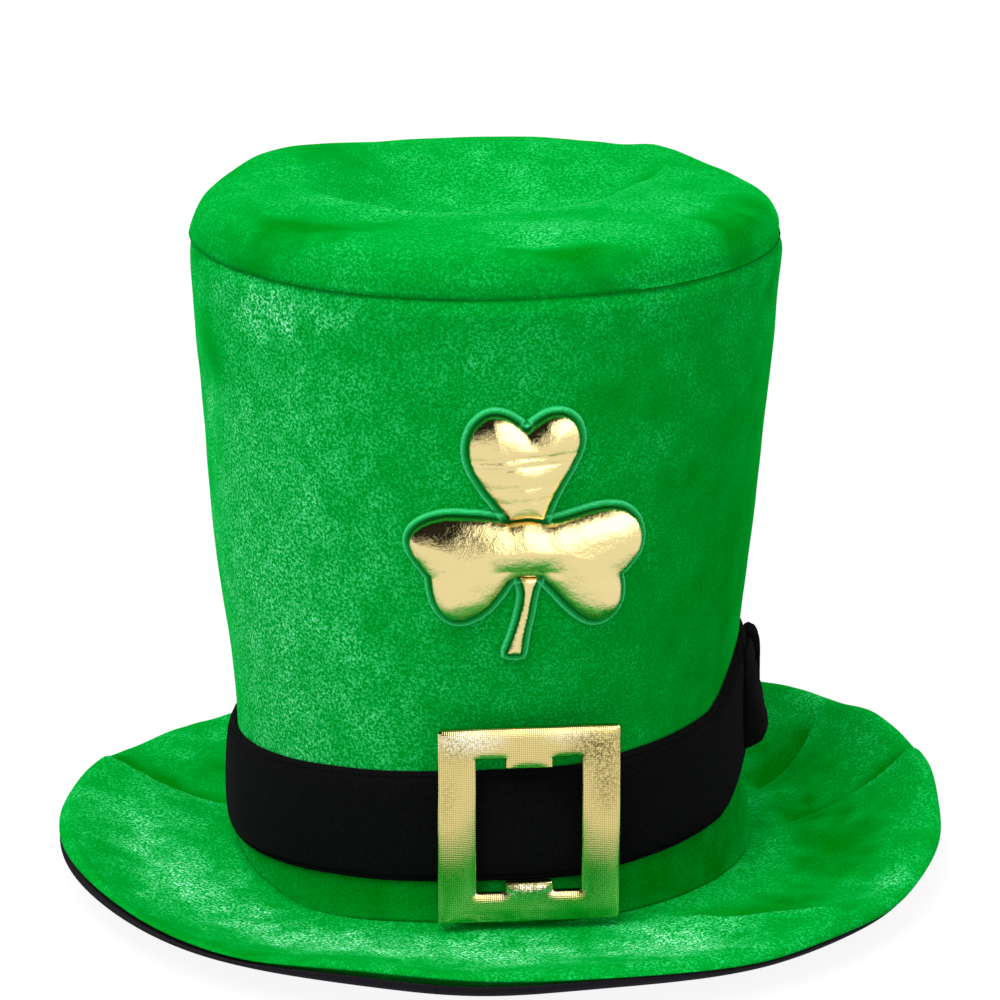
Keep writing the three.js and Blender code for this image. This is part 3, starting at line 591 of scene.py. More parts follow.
def hollow_drop(points):
    """How far the velvet falls behind the ridge round the hollow."""
    azimuth, inward = hollow(points)
    drop = smooth(inward / HOLLOW_SLOPE) * (1 - 0.5 * smooth((inward - HOLLOW_SLOPE) / 50.0))
    return HOLLOW_DROP * drop * between(azimuth, -100.0, 40.0, 150.0, 40.0)


def hollow_light_and_shade(points):
    """Painted light along the outside of the ridge round the hollow, and painted shade just inside it."""
    azimuth, inward = hollow(points)
    brightness = np.where(inward > 0, -0.8 * bell(inward / 15), 0.35 * bell(inward / 14))
    return brightness * between(azimuth, -70.0, 25.0, 110.0, 40.0)


def top_change(sizes):
    """How the crown's top departs from its rounded cage."""
    def change(points, normals):
        azimuth, reach = polar(points)
        low = smooth(1 - (points[:, 2] - SEAM_TOP) / SEAM_REACH)
        outer = np.clip((normals * outward(azimuth)).sum(axis=1) * 2.0 + 0.3, 0.0, 1.0)
        fuller = (1.5 - 0.5 * np.sin(np.radians(azimuth))) * smooth((reach - 70.0) / 30.0)
        moved = points + outward(azimuth) * ((fuller - seam_pull(sizes, azimuth) * low) * outer)[:, None]
        lift = -hollow_drop(points) - patched(points[:, 0], points[:, 1], TOP_DIPS)
        lift += (sizes.ripple / MM) * (1.1 * ripple(points, 38.0, 12.3) + 0.3 * ripple(points, 14.0, 5.5))
        # The base comes down on the wall, so that no slit shows
        moved[:, 2] += lift * (1 - low) - 0.5 * smooth(1 - (points[:, 2] - SEAM_TOP) / 2.0)
        # The backing stays clear of the velvet where the top hollows
        moved[:, 2] -= 2.5 * smooth(-normals[:, 2] * 2.0) * (1 - low)
        return moved
    return change


def back_faces(piece, is_inner):
    """Gives the second material to the faces that a function of centre and normal picks."""
    for face in piece.data.polygons:
        face.material_index = 1 if is_inner(face.center / MM, face.normal) else 0


class HAT_OT_crown(bpy.types.Operator):
    """Covers the crown's wall and its top in velvet"""
    bl_idname = "hat.crown"
    bl_label = "Crown"

    def execute(self, context):
        sizes = context.scene.hat_crown
        velvet = crushed_velvet("crushed_velvet", context.scene.hat_velvet, 0.2)
        foam = foam_backing()
        wall = subdivide(cage("crown_side", "crown_wall_velvet", 50), 3)
        reshape(wall, wall_change(sizes))
        # The wall's painted light and shade, with a line of painted shade along the seam
        paint_light_and_nap(wall, WALL_LIGHT_AND_NAP, lambda points: (polar(points)[0], points[:, 2]), lambda points: (
            -0.5 * bump((SEAM_TOP - points[:, 2]) / 2.0)))
        top = subdivide(cage("crown_top", "crown_top_velvet", 50), 3)
        reshape(top, top_change(sizes))
        paint_light_and_nap(top, TOP_LIGHT_AND_NAP, lambda points: (points[:, 0], points[:, 1]), hollow_light_and_shade)
        for piece in (wall, top):
            piece.data.materials.append(velvet)
            piece.data.materials.append(foam)
        back_faces(wall, lambda centre, normal: (
            normal.dot(Vector((centre.x - CROWN_X, centre.y, 0)).normalized()) < -0.5))
        back_faces(top, lambda centre, normal: normal.z < -0.2)
        dress(wall, "green_velvet", "crown_side")
        dress(top, "green_velvet", "crown_top")
        return {"FINISHED"}


# Brim

# Rises of the rim, both skins of it: azimuth, width and height
BRIM_RISES = [
    (-119, 11, 2.4), (-134, 10, -1.4), (130, 9, 1.6), (148, 14, -3.4),
]
# Creases that run out across the velvet: azimuths of the ends at the crown and at the rim, distances of the
# start and the end, height of the fold towards the hat's front, depth behind it, and how far it runs out
Crease = namedtuple("Crease", "crown rim start end front back run")
BRIM_CREASES = [
    Crease(-104.5, -109.5, 106, 170, 1.0, 2.8, 9.0),
    Crease(92, 103, 108, 174, 1.2, 2.8, 8.0),
    Crease(112, 128, 110, 158, 0.6, 2.4, 7.0),
    Crease(33, 51, 108, 168, 2.2, 4.4, 12.0),
]
# Where the velvet's edge is drawn up and the black cloth shows under it: azimuth, width and height
BRIM_TUCKS = [
    (-58, 46, 2.6), (-8, 26, 1.8),
]
# Patches of painted light and shade, partly pile tone, on the brim: azimuth and distance from its middle, their
# two sizes and how lit
BRIM_LIGHT_AND_NAP = [
    (-62, 130, 34, 30, 0.9), (-28, 128, 28, 28, 1.1), (-92, 145, 20, 34, 0.45), (-44, 168, 42, 10, -0.4),
    (0, 130, 26, 34, 1.0), (27, 136, 17, 40, 1.1), (64, 162, 14, 10, 0.5), (52, 132, 14, 24, -0.9),
    (80, 132, 22, 28, -1.0), (99, 124, 14, 24, -0.8), (118, 130, 18, 28, -0.8), (-111, 144, 7, 26, -0.6),
    (-122, 132, 10, 18, -0.5),
]
BRIM_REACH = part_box("brim_top")[1].x / MM
CROWN_FOOT = 99.5


def round_the_brim(points):
    """Azimuth and distance from the brim's middle."""
    return polar(points, 0.0)


def brim_share(reach):
    """Share of the way from the crown's foot to the rim."""
    return np.clip((reach - CROWN_FOOT) / (BRIM_REACH - CROWN_FOOT), 0.0, 1.0)


def along_rim(azimuth, rises):
    """Height of some rises at azimuths."""
    return sum(high * bump(turned(azimuth, place) / wide) for place, wide, high in rises)


def behind_crease(crease, azimuth, reach):
    """How far points lie behind a crease's line, and how strong the crease is there."""
    line = crease.crown + (crease.rim - crease.crown) * brim_share(reach)
    behind = np.radians(turned(azimuth, line)) * reach * np.sign(crease.crown)
    return behind, between(reach, crease.start, 15.0, crease.end, 12.0)


def crease_light_and_shade(points):
    """Painted light before the creases, and painted shade behind them."""
    azimuth, reach = round_the_brim(points)
    painted_light_and_nap = np.zeros(len(points))
    for crease in BRIM_CREASES:
        behind, strength = behind_crease(crease, azimuth, reach)
        painted_light_and_nap += np.where(behind > 0, -1.5 * bell(behind / crease.run), 0.4 * bell(behind / 6.0)) * strength
    return painted_light_and_nap


def brim_change(sizes, creased):
    """How a skin of the brim departs from its rounded cage. Creases are in the upper skin alone."""
    # The upper skin is drawn in and up by a tuck, and the lower one out
    tuck_out, tuck_up = (-0.6, 0.7) if creased else (0.3, 0.0)

    def change(points, normals):
        azimuth, reach = round_the_brim(points)
        drawn = along_rim(azimuth, BRIM_TUCKS) * smooth((reach - 162.0) / 6.0)
        moved = points.copy()
        moved[:, :2] *= (1 + (1.7 * smooth((reach - 120.0) / 40.0) + drawn * tuck_out) / reach)[:, None]
        moved[:, 2] += along_rim(azimuth, BRIM_RISES) * smooth((reach - 125.0) / 30.0) + drawn * tuck_up
        if creased:
            lift = 0.6 * bell((polar(points)[1] - CROWN_FOOT) / 4.0)
            for crease in BRIM_CREASES:
                behind, strength = behind_crease(crease, azimuth, reach)
                step = smooth(behind / 2.4 + 0.5)
                fold = crease.front * (1 - step) - crease.back * step
                lift += fold * bell(behind / crease.run) * strength
            soft = ripple(points, 34.0, 21.7) + 0.4 * ripple(points, 13.0, 4.2)
            lift += (sizes.ripple / MM) * soft * smooth(brim_share(reach) * 4.0)
            moved[:, 2] += lift * smooth(normals[:, 2] * 1.5)
        return moved
    return change


class HAT_OT_brim(bpy.types.Operator):
    """Covers the padded brim in velvet above and black cloth below"""
    bl_idname = "hat.brim"
    bl_label = "Brim"

    def execute(self, context):
        sizes = context.scene.hat_brim
        upper = subdivide(cage("brim_top", "brim_velvet"), 3)
        reshape(upper, brim_change(sizes, True))
        paint_light_and_nap(upper, BRIM_LIGHT_AND_NAP, round_the_brim, crease_light_and_shade)
        upper.data.materials.append(crushed_velvet("crushed_velvet_mottled", context.scene.hat_velvet, 0.3))
        under = subdivide(cage("brim_underside", "brim_black_cloth"), 3)
        reshape(under, brim_change(sizes, False))
        under.data.materials.append(brushed_knit("brushed_knit", ("0E0C10", "201D23"), 0.08))
        dress(upper, "green_velvet", "brim_top")
        dress(under, "black_cloth", "brim_underside")
        return {"FINISHED"}


# Band

BAND_COLUMNS = 60
BAND_RUN = 240
BAND_ROWS = 60
# How far the band's edges and its back are off the wall
BAND_EDGE = 0.35
BAND_BACK = 0.3
# How far the band sits above the middle of its CAD solid, at azimuths
BAND_LIFT = [
    (-180, 0.0), (-80, -1.0), (-55, 0.6), (-35, 1.6), (-12, 1.2), (2, 0.0), (20, -3.4), (45, -4.0), (62, -3.6),
    (80, -2.4), (105, -1.2), (180, 0.0)]


def band_edges():
    """The lower and upper edge of the band at each azimuth of the CAD node's columns."""
    points = node_points("hat_band")
    azimuth, _ = polar(points)
    column = np.round(azimuth * BAND_COLUMNS / 360).astype(int) % BAND_COLUMNS
    return [(points[column == i, 2].min(), points[column == i, 2].max()) for i in range(BAND_COLUMNS)]


def band_edge(azimuth, which):
    """The band's lower (0) or upper (1) edge at azimuths."""
    heights = [pair[which] for pair in band_edges()]
    places = np.arange(BAND_COLUMNS) * 360 / BAND_COLUMNS
    lift = np.interp(turned(azimuth, 0.0), *zip(*BAND_LIFT))
    return np.interp(azimuth % 360, places, heights, period=360) + lift


class HAT_OT_band(bpy.types.Operator):
    """Lays the padded velvet band round the crown"""
    bl_idname = "hat.band"
    bl_label = "Band"

    def execute(self, context):
        sizes = context.scene.hat_band
        azimuth = np.arange(BAND_RUN)[:, None] * 360.0 / BAND_RUN
        low, high = band_edge(azimuth, 0), band_edge(azimuth, 1)
        face = np.sin(np.linspace(-math.pi / 2, math.pi / 2, BAND_ROWS))
        across = np.concatenate([face, np.linspace(1, -1, 8)[1:-1]])
        half = (high - low) / 2
        height = (low + high) / 2 + across * half
        inset = (1 - np.abs(face)) * half
        # The face is domed, and rolls in at its edges; the stitching draws a groove along both
        full = (1 - np.abs(face) ** 6) ** 0.5 * 0.86 + 0.14 * np.cos(face * math.pi / 2)
        groove = (sizes.stitch_groove / MM) * bump((inset - sizes.stitch_inset / MM) / 0.9)
        stand = BAND_EDGE + (sizes.thickness / MM - BAND_EDGE) * full - groove
        back = np.full((BAND_RUN, len(across) - BAND_ROWS), BAND_BACK)
        out = np.concatenate([stand, back], axis=1)
        band = loft("band_velvet", on_wall(azimuth, height, out))
        band.data.materials.append(brushed_knit("pile_velvet_black", ("030303", "121213"), 0.025))
        dress(band, "black_velvet", "hat_band")
        return {"FINISHED"}


# Bow

# Shares of a loop's length from the knot to its outer fold, of its height and of its depth
BOW_RUN = [
    (0.0, 0.62, 0.7), (0.12, 0.66, 0.75), (0.35, 0.88, 0.95), (0.6, 1.0, 1.0), (0.85, 1.0, 0.95),
    (0.96, 0.97, 0.72), (1.0, 0.93, 0.4),
]
# How far a loop stands out from the band, from its bottom at -1 to its top at 1: it is full below, with a
# smaller fold above a pinch
BOW_STAND = [
    (-1.0, 0.9), (-0.97, 3.0), (-0.89, 6.6), (-0.72, 8.6), (-0.61, 8.6), (-0.5, 7.4), (-0.27, 6.7), (0.06, 4.9),
    (0.41, 3.8), (0.54, 2.0), (0.69, 3.0), (0.8, 2.7), (0.95, 1.2), (1.0, 0.4)]
BOW_SIDES = 72
BOW_STEPS = 40


def bow_section(angle, square):
    """Two coordinates, each from -1 to 1, of a rounded rectangle at angles."""
    wide, tall = np.cos(angle), np.sin(angle)
    size = (np.abs(wide) ** square + np.abs(tall) ** square) ** (1 / square)
    return wide / size, tall / size


def bow_loop(name, node, knot_y):
    """A loop of folded velvet against the band: full at its outer fold and pleated into the knot."""
    low, high = (np.array(corner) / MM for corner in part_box(node))
    middle_z, half_z = (low[2] + high[2]) / 2, (high[2] - low[2]) / 2
    far_y = max(low[1], high[1], key=lambda y: abs(y - knot_y))
    band_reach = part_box("hat_band")[1].x / MM - CROWN_X
    along = smooth(np.linspace(0, 1, BOW_STEPS)) * 0.5 + np.linspace(0, 1, BOW_STEPS) * 0.5
    outer = np.linspace(-1, 1, 2 * BOW_SIDES // 3)
    inner = np.linspace(1, -1, BOW_SIDES - len(outer) + 2)[1:-1]
    up = np.concatenate([outer, inner])
    stand = np.concatenate([np.interp(outer, *zip(*BOW_STAND)), np.zeros(len(inner))])
    # The two layers of the ribbon part a little at the bottom of the fold
    stand -= 1.2 * bell((up + 0.56) / 0.05) * (stand > 0)
    places, *shares = np.array(BOW_RUN).T
    rows = []
    for share in along:
        tall, deep = (float(np.interp(share, places, column)) for column in shares)
        pleats = 0.5 * (1 - share) * np.cos(up * 13.0) + 0.25 * np.cos(up * 9.0 + 3.0 * share)
        y = knot_y + (far_y - knot_y) * share
        x = CROWN_X + math.sqrt(band_reach ** 2 - y ** 2) - 0.6 + (stand * deep + pleats * (stand > 2.0))
        z = middle_z + half_z * tall * up
        rows.append(np.stack([x, np.full_like(x, y), z], axis=1))
    return loft(name, np.array(rows), ring=False)


def bow_knot(name, node):
    """The strip that is wrapped round the middle of the bow, in soft pleats."""
    low, high = (np.array(corner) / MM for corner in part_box(node))
    middle, half = (low + high) / 2, (high - low) / 2
    angle = np.arange(BOW_SIDES) * 2 * math.pi / BOW_SIDES
    rows = []
    for share in np.linspace(-1, 1, BOW_STEPS):
        full = (1 - abs(share) ** 5) ** 0.5 * 0.9 + 0.1
        out, along = bow_section(angle, 3.5)
        pleats = 0.45 * np.cos(along * 10.0 + 0.8 * math.sin(3 * share)) * np.clip(out * 2, 0, 1)
        waist = 0.88 + 0.12 * share * share
        x = middle[0] + half[0] * out * full + pleats * full
        y = middle[1] + half[1] * along * waist * (0.6 + 0.4 * full)
        rows.append(np.stack([x, y, np.full_like(x, middle[2] + half[2] * 0.86 * share)], axis=1))
    return loft(name, np.array(rows), ring=False)


class HAT_OT_bow(bpy.types.Operator):
    """Folds the flat bow's two loops and its knot"""
    bl_idname = "hat.bow"
    bl_label = "Bow"

    def execute(self, context):
        velvet = bpy.data.objects["band_velvet"].active_material
        knot_y = middle_of("bow_knot").y
        pieces = (
            (bow_loop("bow_front_ribbon", "bow_front_loop", knot_y - 3.0), "bow_front_loop"),
            (bow_loop("bow_back_ribbon", "bow_back_loop", knot_y + 3.0), "bow_back_loop"),
            (bow_knot("bow_knot_velvet", "bow_knot"), "bow_knot"),
        )
        for piece, node in pieces:
            piece.data.materials.append(velvet)
            dress(piece, "black_velvet", node)
        return {"FINISHED"}


# Buckle

# Lines of the frame across and up from its middle: outer edges, window edges, and sides or ends of the tabs
BUCKLE_COLUMNS = [-33.25, -19.25, -8.5, 8.5, 19.25, 33.25]
BUCKLE_LINES = [-37.4, -25.9, -22.0, 22.0, 25.9, 37.4]
BUCKLE_THICKNESS = 3.0
BUCKLE_FINE = 6
# From the middle of its CAD solid to where the photograph has it
BUCKLE_SHIFT = Vector((1.2, 0.0, 0.5))
# Where dark reflections and white glints are painted on the cloth: place across and up from its middle,
#  their two sizes and how much
BUCKLE_PAINTED_DARK_REFLECTIONS = [
    (25, 29, 17, 13, 0.85), (28, 14, 9, 14, 0.6), (-27, 30, 12, 10, 0.35), (2, -24, 30, 5, 0.55),
    (-30, 12, 5, 14, 0.3),
]
BUCKLE_PAINTED_GLINTS = [
    (-22, 33, 20, 7, 0.9), (14, 34, 14, 4, 0.5), (0, -25, 30, 4, 0.7),
]


def buckle_lines():
    """The frame's outer edge and its window, across and up from its middle."""
    outer, window, tab = BUCKLE_COLUMNS[5], BUCKLE_COLUMNS[4], BUCKLE_COLUMNS[3]
    top, high, low = BUCKLE_LINES[5], BUCKLE_LINES[4], BUCKLE_LINES[3]
    corner = [(window, high), (tab, high), (tab, low)]
    quarter = corner + [(-x, y) for x, y in reversed(corner)]
    inner = quarter + [(-x, -y) for x, y in quarter]
    return [np.array([(-outer, -top), (outer, -top), (outer, top), (-outer, top)], float), np.array(inner)]


def pick(piece, kind, is_picked):
    """Selects the faces or the points that a function of their place picks, and goes into edit mode."""
    select_only(piece)
    bpy.ops.object.mode_set(mode="EDIT")
    bpy.ops.mesh.select_mode(type=kind)
    bpy.ops.mesh.select_all(action="DESELECT")
    bpy.ops.object.mode_set(mode="OBJECT")
    mesh = piece.data
    for item in mesh.polygons if kind == "FACE" else mesh.vertices:
        place = item.center if kind == "FACE" else item.co
        item.select = is_picked(abs(place.x) / MM, abs(place.y) / MM)
    bpy.ops.object.mode_set(mode="EDIT")


class HAT_OT_buckle(bpy.types.Operator):
    """Cuts the buckle's frame, pads it and wraps its edges"""
    bl_idname = "hat.buckle"
    bl_label = "Buckle"

    def execute(self, context):
        sizes = context.scene.hat_buckle
        cells = 5 * BUCKLE_FINE
        bpy.ops.object.select_all(action="DESELECT")
        bpy.ops.mesh.primitive_grid_add(x_subdivisions=cells, y_subdivisions=cells, size=1)
        buckle = context.active_object
        buckle.name = "buckle_frame"
        buckle.data.name = "buckle_frame"
        for vertex in buckle.data.vertices:
            steps = [(place + 0.5) * 5 for place in vertex.co[:2]]
            across = np.interp(steps[0], range(6), BUCKLE_COLUMNS)
            up = np.interp(steps[1], range(6), BUCKLE_LINES)
            vertex.co = Vector((across, up, 0)) * MM
        pick(buckle, "FACE", lambda x, y: x < BUCKLE_COLUMNS[4] and y < BUCKLE_LINES[4] and not (
            x < BUCKLE_COLUMNS[3] and y > BUCKLE_LINES[3]))
        bpy.ops.mesh.delete(type="FACE")
        bpy.ops.object.mode_set(mode="OBJECT")
        pick(buckle, "VERT", lambda x, y: x > BUCKLE_COLUMNS[5] - 0.1 and y > BUCKLE_LINES[5] - 0.1)
        bpy.ops.mesh.bevel(offset=sizes.corner, segments=4, affect="VERTICES")
        bpy.ops.mesh.select_all(action="SELECT")
        bpy.ops.mesh.extrude_region_move(TRANSFORM_OT_translate={"value": (0, 0, BUCKLE_THICKNESS * MM)})
        bpy.ops.mesh.select_all(action="SELECT")
        bpy.ops.mesh.normals_make_consistent(inside=False)
        bpy.ops.object.mode_set(mode="OBJECT")
        bevel = buckle.modifiers.new("wrap", "BEVEL")
        bevel.width = sizes.edge
        bevel.segments = 4
        bevel.limit_method = "ANGLE"
        bpy.ops.object.modifier_apply(modifier=bevel.name)
        reshape(buckle, self.padding(sizes))
        across, up, _ = points_of(buckle).T
        # Patches of painted dark reflections and painted white glints on the cloth
        for name, patches in (("painted_dark_reflection", BUCKLE_PAINTED_DARK_REFLECTIONS), ("painted_thread_glint", BUCKLE_PAINTED_GLINTS)):
            write(buckle, name, np.clip(patched(across, up, patches), 0.0, 1.0))
        centre = (middle_of("buckle") + BUCKLE_SHIFT) * MM
        stand = Matrix.Rotation(sizes.turn, 4, "Z") @ Matrix.Rotation(math.pi / 2, 4, "X")
        back = Matrix.Translation((0, 0, -BUCKLE_THICKNESS * MM / 2))
        buckle.data.transform(Matrix.Translation(centre) @ stand @ back)
        select_only(buckle)
        bpy.ops.object.shade_smooth_by_angle(angle=math.radians(40))
        buckle.data.materials.append(gold_lame())
        dress(buckle, "gold_lame", "buckle")
        return {"FINISHED"}

    def padding(self, sizes):
        """Swells the front between the frame's edges, and lets the edges waver."""
        def change(points, normals):
            within = distance_to(points[:, :2], buckle_lines())
            front = points[:, 2] > BUCKLE_THICKNESS / 2
            moved = points.copy()
            moved[:, 2] += (sizes.dome / MM) * (1 - (1 - np.clip(within / 5.0, 0, 1)) ** 2) * front
            moved[:, 0] += 0.4 * ripple(points, 17.0, 8.1)
            moved[:, 1] += 0.4 * ripple(points, 17.0, 9.6)
            return moved
        return change


# Shamrock

SHAMROCK_AZIMUTH = 8.0
SHAMROCK_HEIGHT = 154.0
# The way that the front of the hat faces
FRONT_AZIMUTH = 8.8
WALL_RADIUS = 101.0

# Outlines: which of their places are corners, where two curves meet, and the places, across and up from the
# shamrock's middle
TOP_LEAF = ((0, 10, 20), [
    (-6.3, 12.6), (-10.8, 19.1), (-15.8, 26.5), (-19.2, 33.9), (-19.9, 40.5), (-18.2, 46.9),
    (-14.6, 51.2), (-11.0, 52.4), (-7.0, 51.3), (-3.6, 48.8), (-0.7, 46.0), (2.9, 49.4), (6.7, 51.6),
    (11.0, 51.8), (14.9, 49.3), (17.0, 44.5), (17.1, 39.1), (14.6, 32.6), (10.9, 25.5), (7.9, 19.0),
    (5.6, 12.3), (0.0, 13.2),
])
SIDE_LEAVES = ((0, 9, 18, 19, 27, 37), [
    (-6.3, 12.1), (-13.2, 13.6), (-19.9, 14.2), (-26.7, 14.2), (-32.9, 12.6), (-37.9, 9.3), (-40.4, 4.6),
    (-39.1, -0.7), (-35.9, -5.3), (-33.2, -9.0), (-32.7, -14.0), (-31.5, -19.0), (-28.7, -23.5),
    (-24.3, -25.6), (-19.3, -24.4), (-14.0, -20.8), (-9.7, -15.6), (-6.1, -10.3), (-3.0, -8.9),
    (5.0, -9.2), (10.4, -15.3), (15.7, -21.4), (21.1, -26.0), (26.0, -27.8), (30.9, -26.4), (34.1, -22.4),
    (34.8, -17.0), (33.9, -11.2), (38.4, -6.6), (41.4, -2.2), (41.8, 3.3), (39.4, 9.2), (34.6, 13.3),
    (29.0, 14.8), (22.9, 14.6), (16.9, 13.4), (11.2, 12.1), (5.6, 11.3), (0.0, 12.6),
])
STEM = ((0, 4, 5, 9), [
    (-2.4, -9.2), (-1.0, -15.9), (-2.4, -24.8), (-4.5, -32.4), (-6.8, -38.9), (-1.6, -39.1),
    (-0.6, -31.1), (0.9, -23.6), (2.2, -15.4), (4.2, -9.4),
])


def curve_through(outline, spacing):
    """Closed curve through an outline's places, rounded but for its corners, in steps of about a spacing."""
    corners, places = outline[0], np.array(outline[1])
    count = len(places)
    curve = []
    for i in range(count):
        before, start, end, after = (places[(i + k) % count] for k in (-1, 0, 1, 2))
        leave = end - start if i in corners else (end - before) / 2
        arrive = end - start if (i + 1) % count in corners else (after - start) / 2
        steps = max(1, round(float(np.linalg.norm(end - start)) / spacing))
        for t in np.arange(steps) / steps:
            curve.append(
                start * (2 * t**3 - 3 * t**2 + 1) + leave * (t**3 - 2 * t**2 + t)
                + end * (3 * t**2 - 2 * t**3) + arrive * (t**3 - t**2))
    return np.array(curve)


def to_line(places, start, end):
    """Way from the nearest point of a straight line between two ends to each place."""
    way = end - start
    share = np.clip(((places - start) @ way) / (way @ way), 0.0, 1.0)
    return places - start - share[:, None] * way


def distance_to(places, lines):
    """Distance of each place to the nearest of some closed lines."""
    nearest = np.full(len(places), np.inf)
    for line in lines:
        for start, end in zip(line, np.roll(line, -1, axis=0)):
            nearest = np.minimum(nearest, np.linalg.norm(to_line(places, start, end), axis=1))
    return nearest


def inside(places, line):
    """Whether each place is inside a closed line."""
    ends = np.roll(line, -1, axis=0)
    hits = np.zeros(len(places), dtype=int)
    for (x0, y0), (x1, y1) in zip(line, ends):
        crosses = (y0 > places[:, 1]) != (y1 > places[:, 1])
        rise = y1 - y0 if y1 != y0 else 1.0
        hits += crosses & (places[:, 0] < x0 + (places[:, 1] - y0) * (x1 - x0) / rise)
    return hits % 2 == 1


def grown(line, distance):
    """A closed line moved outwards, for shapes whose inner bends are wider than that."""
    ahead, behind = np.roll(line, -1, axis=0), np.roll(line, 1, axis=0)
    way = ahead - behind
    area = np.sum(line[:, 0] * ahead[:, 1] - ahead[:, 0] * line[:, 1])
    side = np.stack([way[:, 1], -way[:, 0]], axis=1) * np.sign(area)
    return line + distance * side / np.linalg.norm(side, axis=1)[:, None]


def fill_outline(lines, spacing):
    """Even triangles over the union of some closed lines: their places, triangles and border edges."""
    points, faces = [], []
    for line in lines:
        faces.append(list(range(len(points), len(points) + len(line))))
        points.extend(line.tolist())
    everything = np.array(points)
    low, high = everything.min(axis=0), everything.max(axis=0)
    rows = []
    for k, up in enumerate(np.arange(low[1], high[1], spacing * 0.87)):
        across = np.arange(low[0], high[0], spacing) + (spacing / 2 if k % 2 else 0)
        rows.append(np.stack([across, np.full_like(across, up)], axis=1))
    inner = np.concatenate(rows)
    within = np.any([inside(inner, line) for line in lines], axis=0)
    inner = inner[within & (distance_to(inner, lines) > 0.6 * spacing)]
    result = delaunay_2d_cdt([Vector(p) for p in points + inner.tolist()], [], faces, 1, 1e-4)
    places = np.array([tuple(p) for p in result[0]])
    triangles = [tuple(face) for face in result[2]]
    sides = {}
    for face in triangles:
        for start, end in zip(face, face[1:] + face[:1]):
            key = (min(start, end), max(start, end))
            sides.setdefault(key, []).append((start, end))
    border = [found[0] for found in sides.values() if len(found) == 1]
    return places, triangles, border


def wrap(places, out):
    """Places across and up on the shamrock, wrapped round the crown's wall."""
    azimuth = SHAMROCK_AZIMUTH + np.degrees(places[:, 0] / WALL_RADIUS)
    return on_wall(azimuth, SHAMROCK_HEIGHT + places[:, 1], out)


def pad(name, lines, spacing, low, height):
    """A closed pad over the union of outlines, level below, with a height for each place above."""
    places, triangles, border = fill_outline(lines, spacing)
    count = len(places)
    faces = list(triangles)
    faces += [tuple(count + i for i in reversed(face)) for face in triangles]
    faces += [(end, start, count + start, count + end) for start, end in border]
    return solid(name, np.concatenate([wrap(places, height(places)), wrap(places, low)]), faces)


# Folds of the foil: places of their two ends, width and depth
TOP_FOLDS = [
    (-21, 36.0, 18, 38.0, 1.3, 1.5), (-20, 32.2, 17, 35.6, 1.6, 1.2), (-14, 25.8, 12, 27.4, 1.6, 0.6),
    (-9, 20.0, 7, 21.4, 1.6, 0.7),
]
SIDE_FOLDS = [
    (-10, -5.6, 10, -7.0, 2.6, 1.3), (6, 11.5, 34, 15.0, 1.1, 0.9), (-12, 12.4, 8, 10.4, 1.6, 0.9),
]
FOIL_LOW = 1.6


def foil_height(lines, folds, puff, width):
    """Height of padded foil: it swells from its stitched edge, and folds cut into it."""
    def height(places):
        deep = distance_to(places, lines)
        full = np.sqrt(1 - (1 - np.clip(deep / width, 0, 1)) ** 2)
        rise = FOIL_LOW + 0.4 + puff * full
        flat = np.concatenate([places, np.zeros((len(places), 1))], axis=1)
        waver = 0.8 * ripple(flat, 7.0, 2.2) + 0.3 * ripple(flat, 2.5, 6.4)
        for *ends, wide, depth in folds:
            away = to_line(places, *np.reshape(ends, (2, 2)).astype(float)) + waver[:, None]
            strength = depth * (1 + 0.7 * ripple(flat, 9.0, 8.3))
            rise -= strength * np.exp(-np.linalg.norm(away, axis=1) / wide) * full
        return rise + 0.3 * ripple(flat, 8.0, 3.7) * full
    return height


def unwrap(points):
    """Places across and up on the shamrock of points on the crown's wall."""
    across = np.radians(polar(points)[0] - SHAMROCK_AZIMUTH) * WALL_RADIUS
    return np.stack([across, points[:, 2] - SHAMROCK_HEIGHT], axis=1)


def within_lines(places, lines):
    """How far inside the nearest line round it each place is."""
    nearest = np.full(len(places), 99.0)
    for line in lines:
        nearest = np.where(inside(places, line), np.minimum(nearest, distance_to(places, [line])), nearest)
    return nearest


def cord(outside):
    """1 on the border's stitched cord, and 0 on the rest of it."""
    return bell((outside - 0.6) / 0.4)


class HAT_OT_shamrock(bpy.types.Operator):
    """Pads the shamrock's gold leaves and stem, and stitches its green border"""
    bl_idname = "hat.shamrock"
    bl_label = "Shamrock"

    def execute(self, context):
        sizes = context.scene.hat_shamrock
        puff, width = sizes.puff / MM, sizes.border / MM
        foil = gold_foil()
        shapes = [curve_through(outline, 1.0) for outline in (TOP_LEAF, SIDE_LEAVES, STEM)]
        jobs = (
            ("shamrock_top_foil", "shamrock_top_leaf", shapes[0], TOP_FOLDS, puff * 1.15, 15.0),
            ("shamrock_side_foil", "shamrock_side_leaves", shapes[1], SIDE_FOLDS, puff * 1.4, 19.0),
            ("shamrock_stem_foil", "shamrock_stem", shapes[2], [], puff * 0.25, 2.2),
        )
        for name, node, shape, folds, swell, run in jobs:
            piece = pad(name, [shape], 0.7, FOIL_LOW, foil_height([shape], folds, swell, run))
            piece.data.materials.append(foil)
            dress(piece, "gold_foil", node)
        lines = [grown(shape, width) for shape in shapes]

        def border_height(places):
            outside = within_lines(places, lines)
            swell = 1.7 * bell((distance_to(places, shapes) - 1.1) / 0.8)
            return 0.1 + np.maximum(1.3 * cord(outside), swell) + 0.4 * smooth(outside / 0.6)

        border = pad("shamrock_border_stitch", lines, 0.55, -0.2, border_height)
        write(border, "thread", cord(within_lines(unwrap(points_of(border)), lines)))
        border.data.materials.append(satin_stitch())
        dress(border, "green_stitching", "shamrock_border")
        return {"FINISHED"}


# Stage

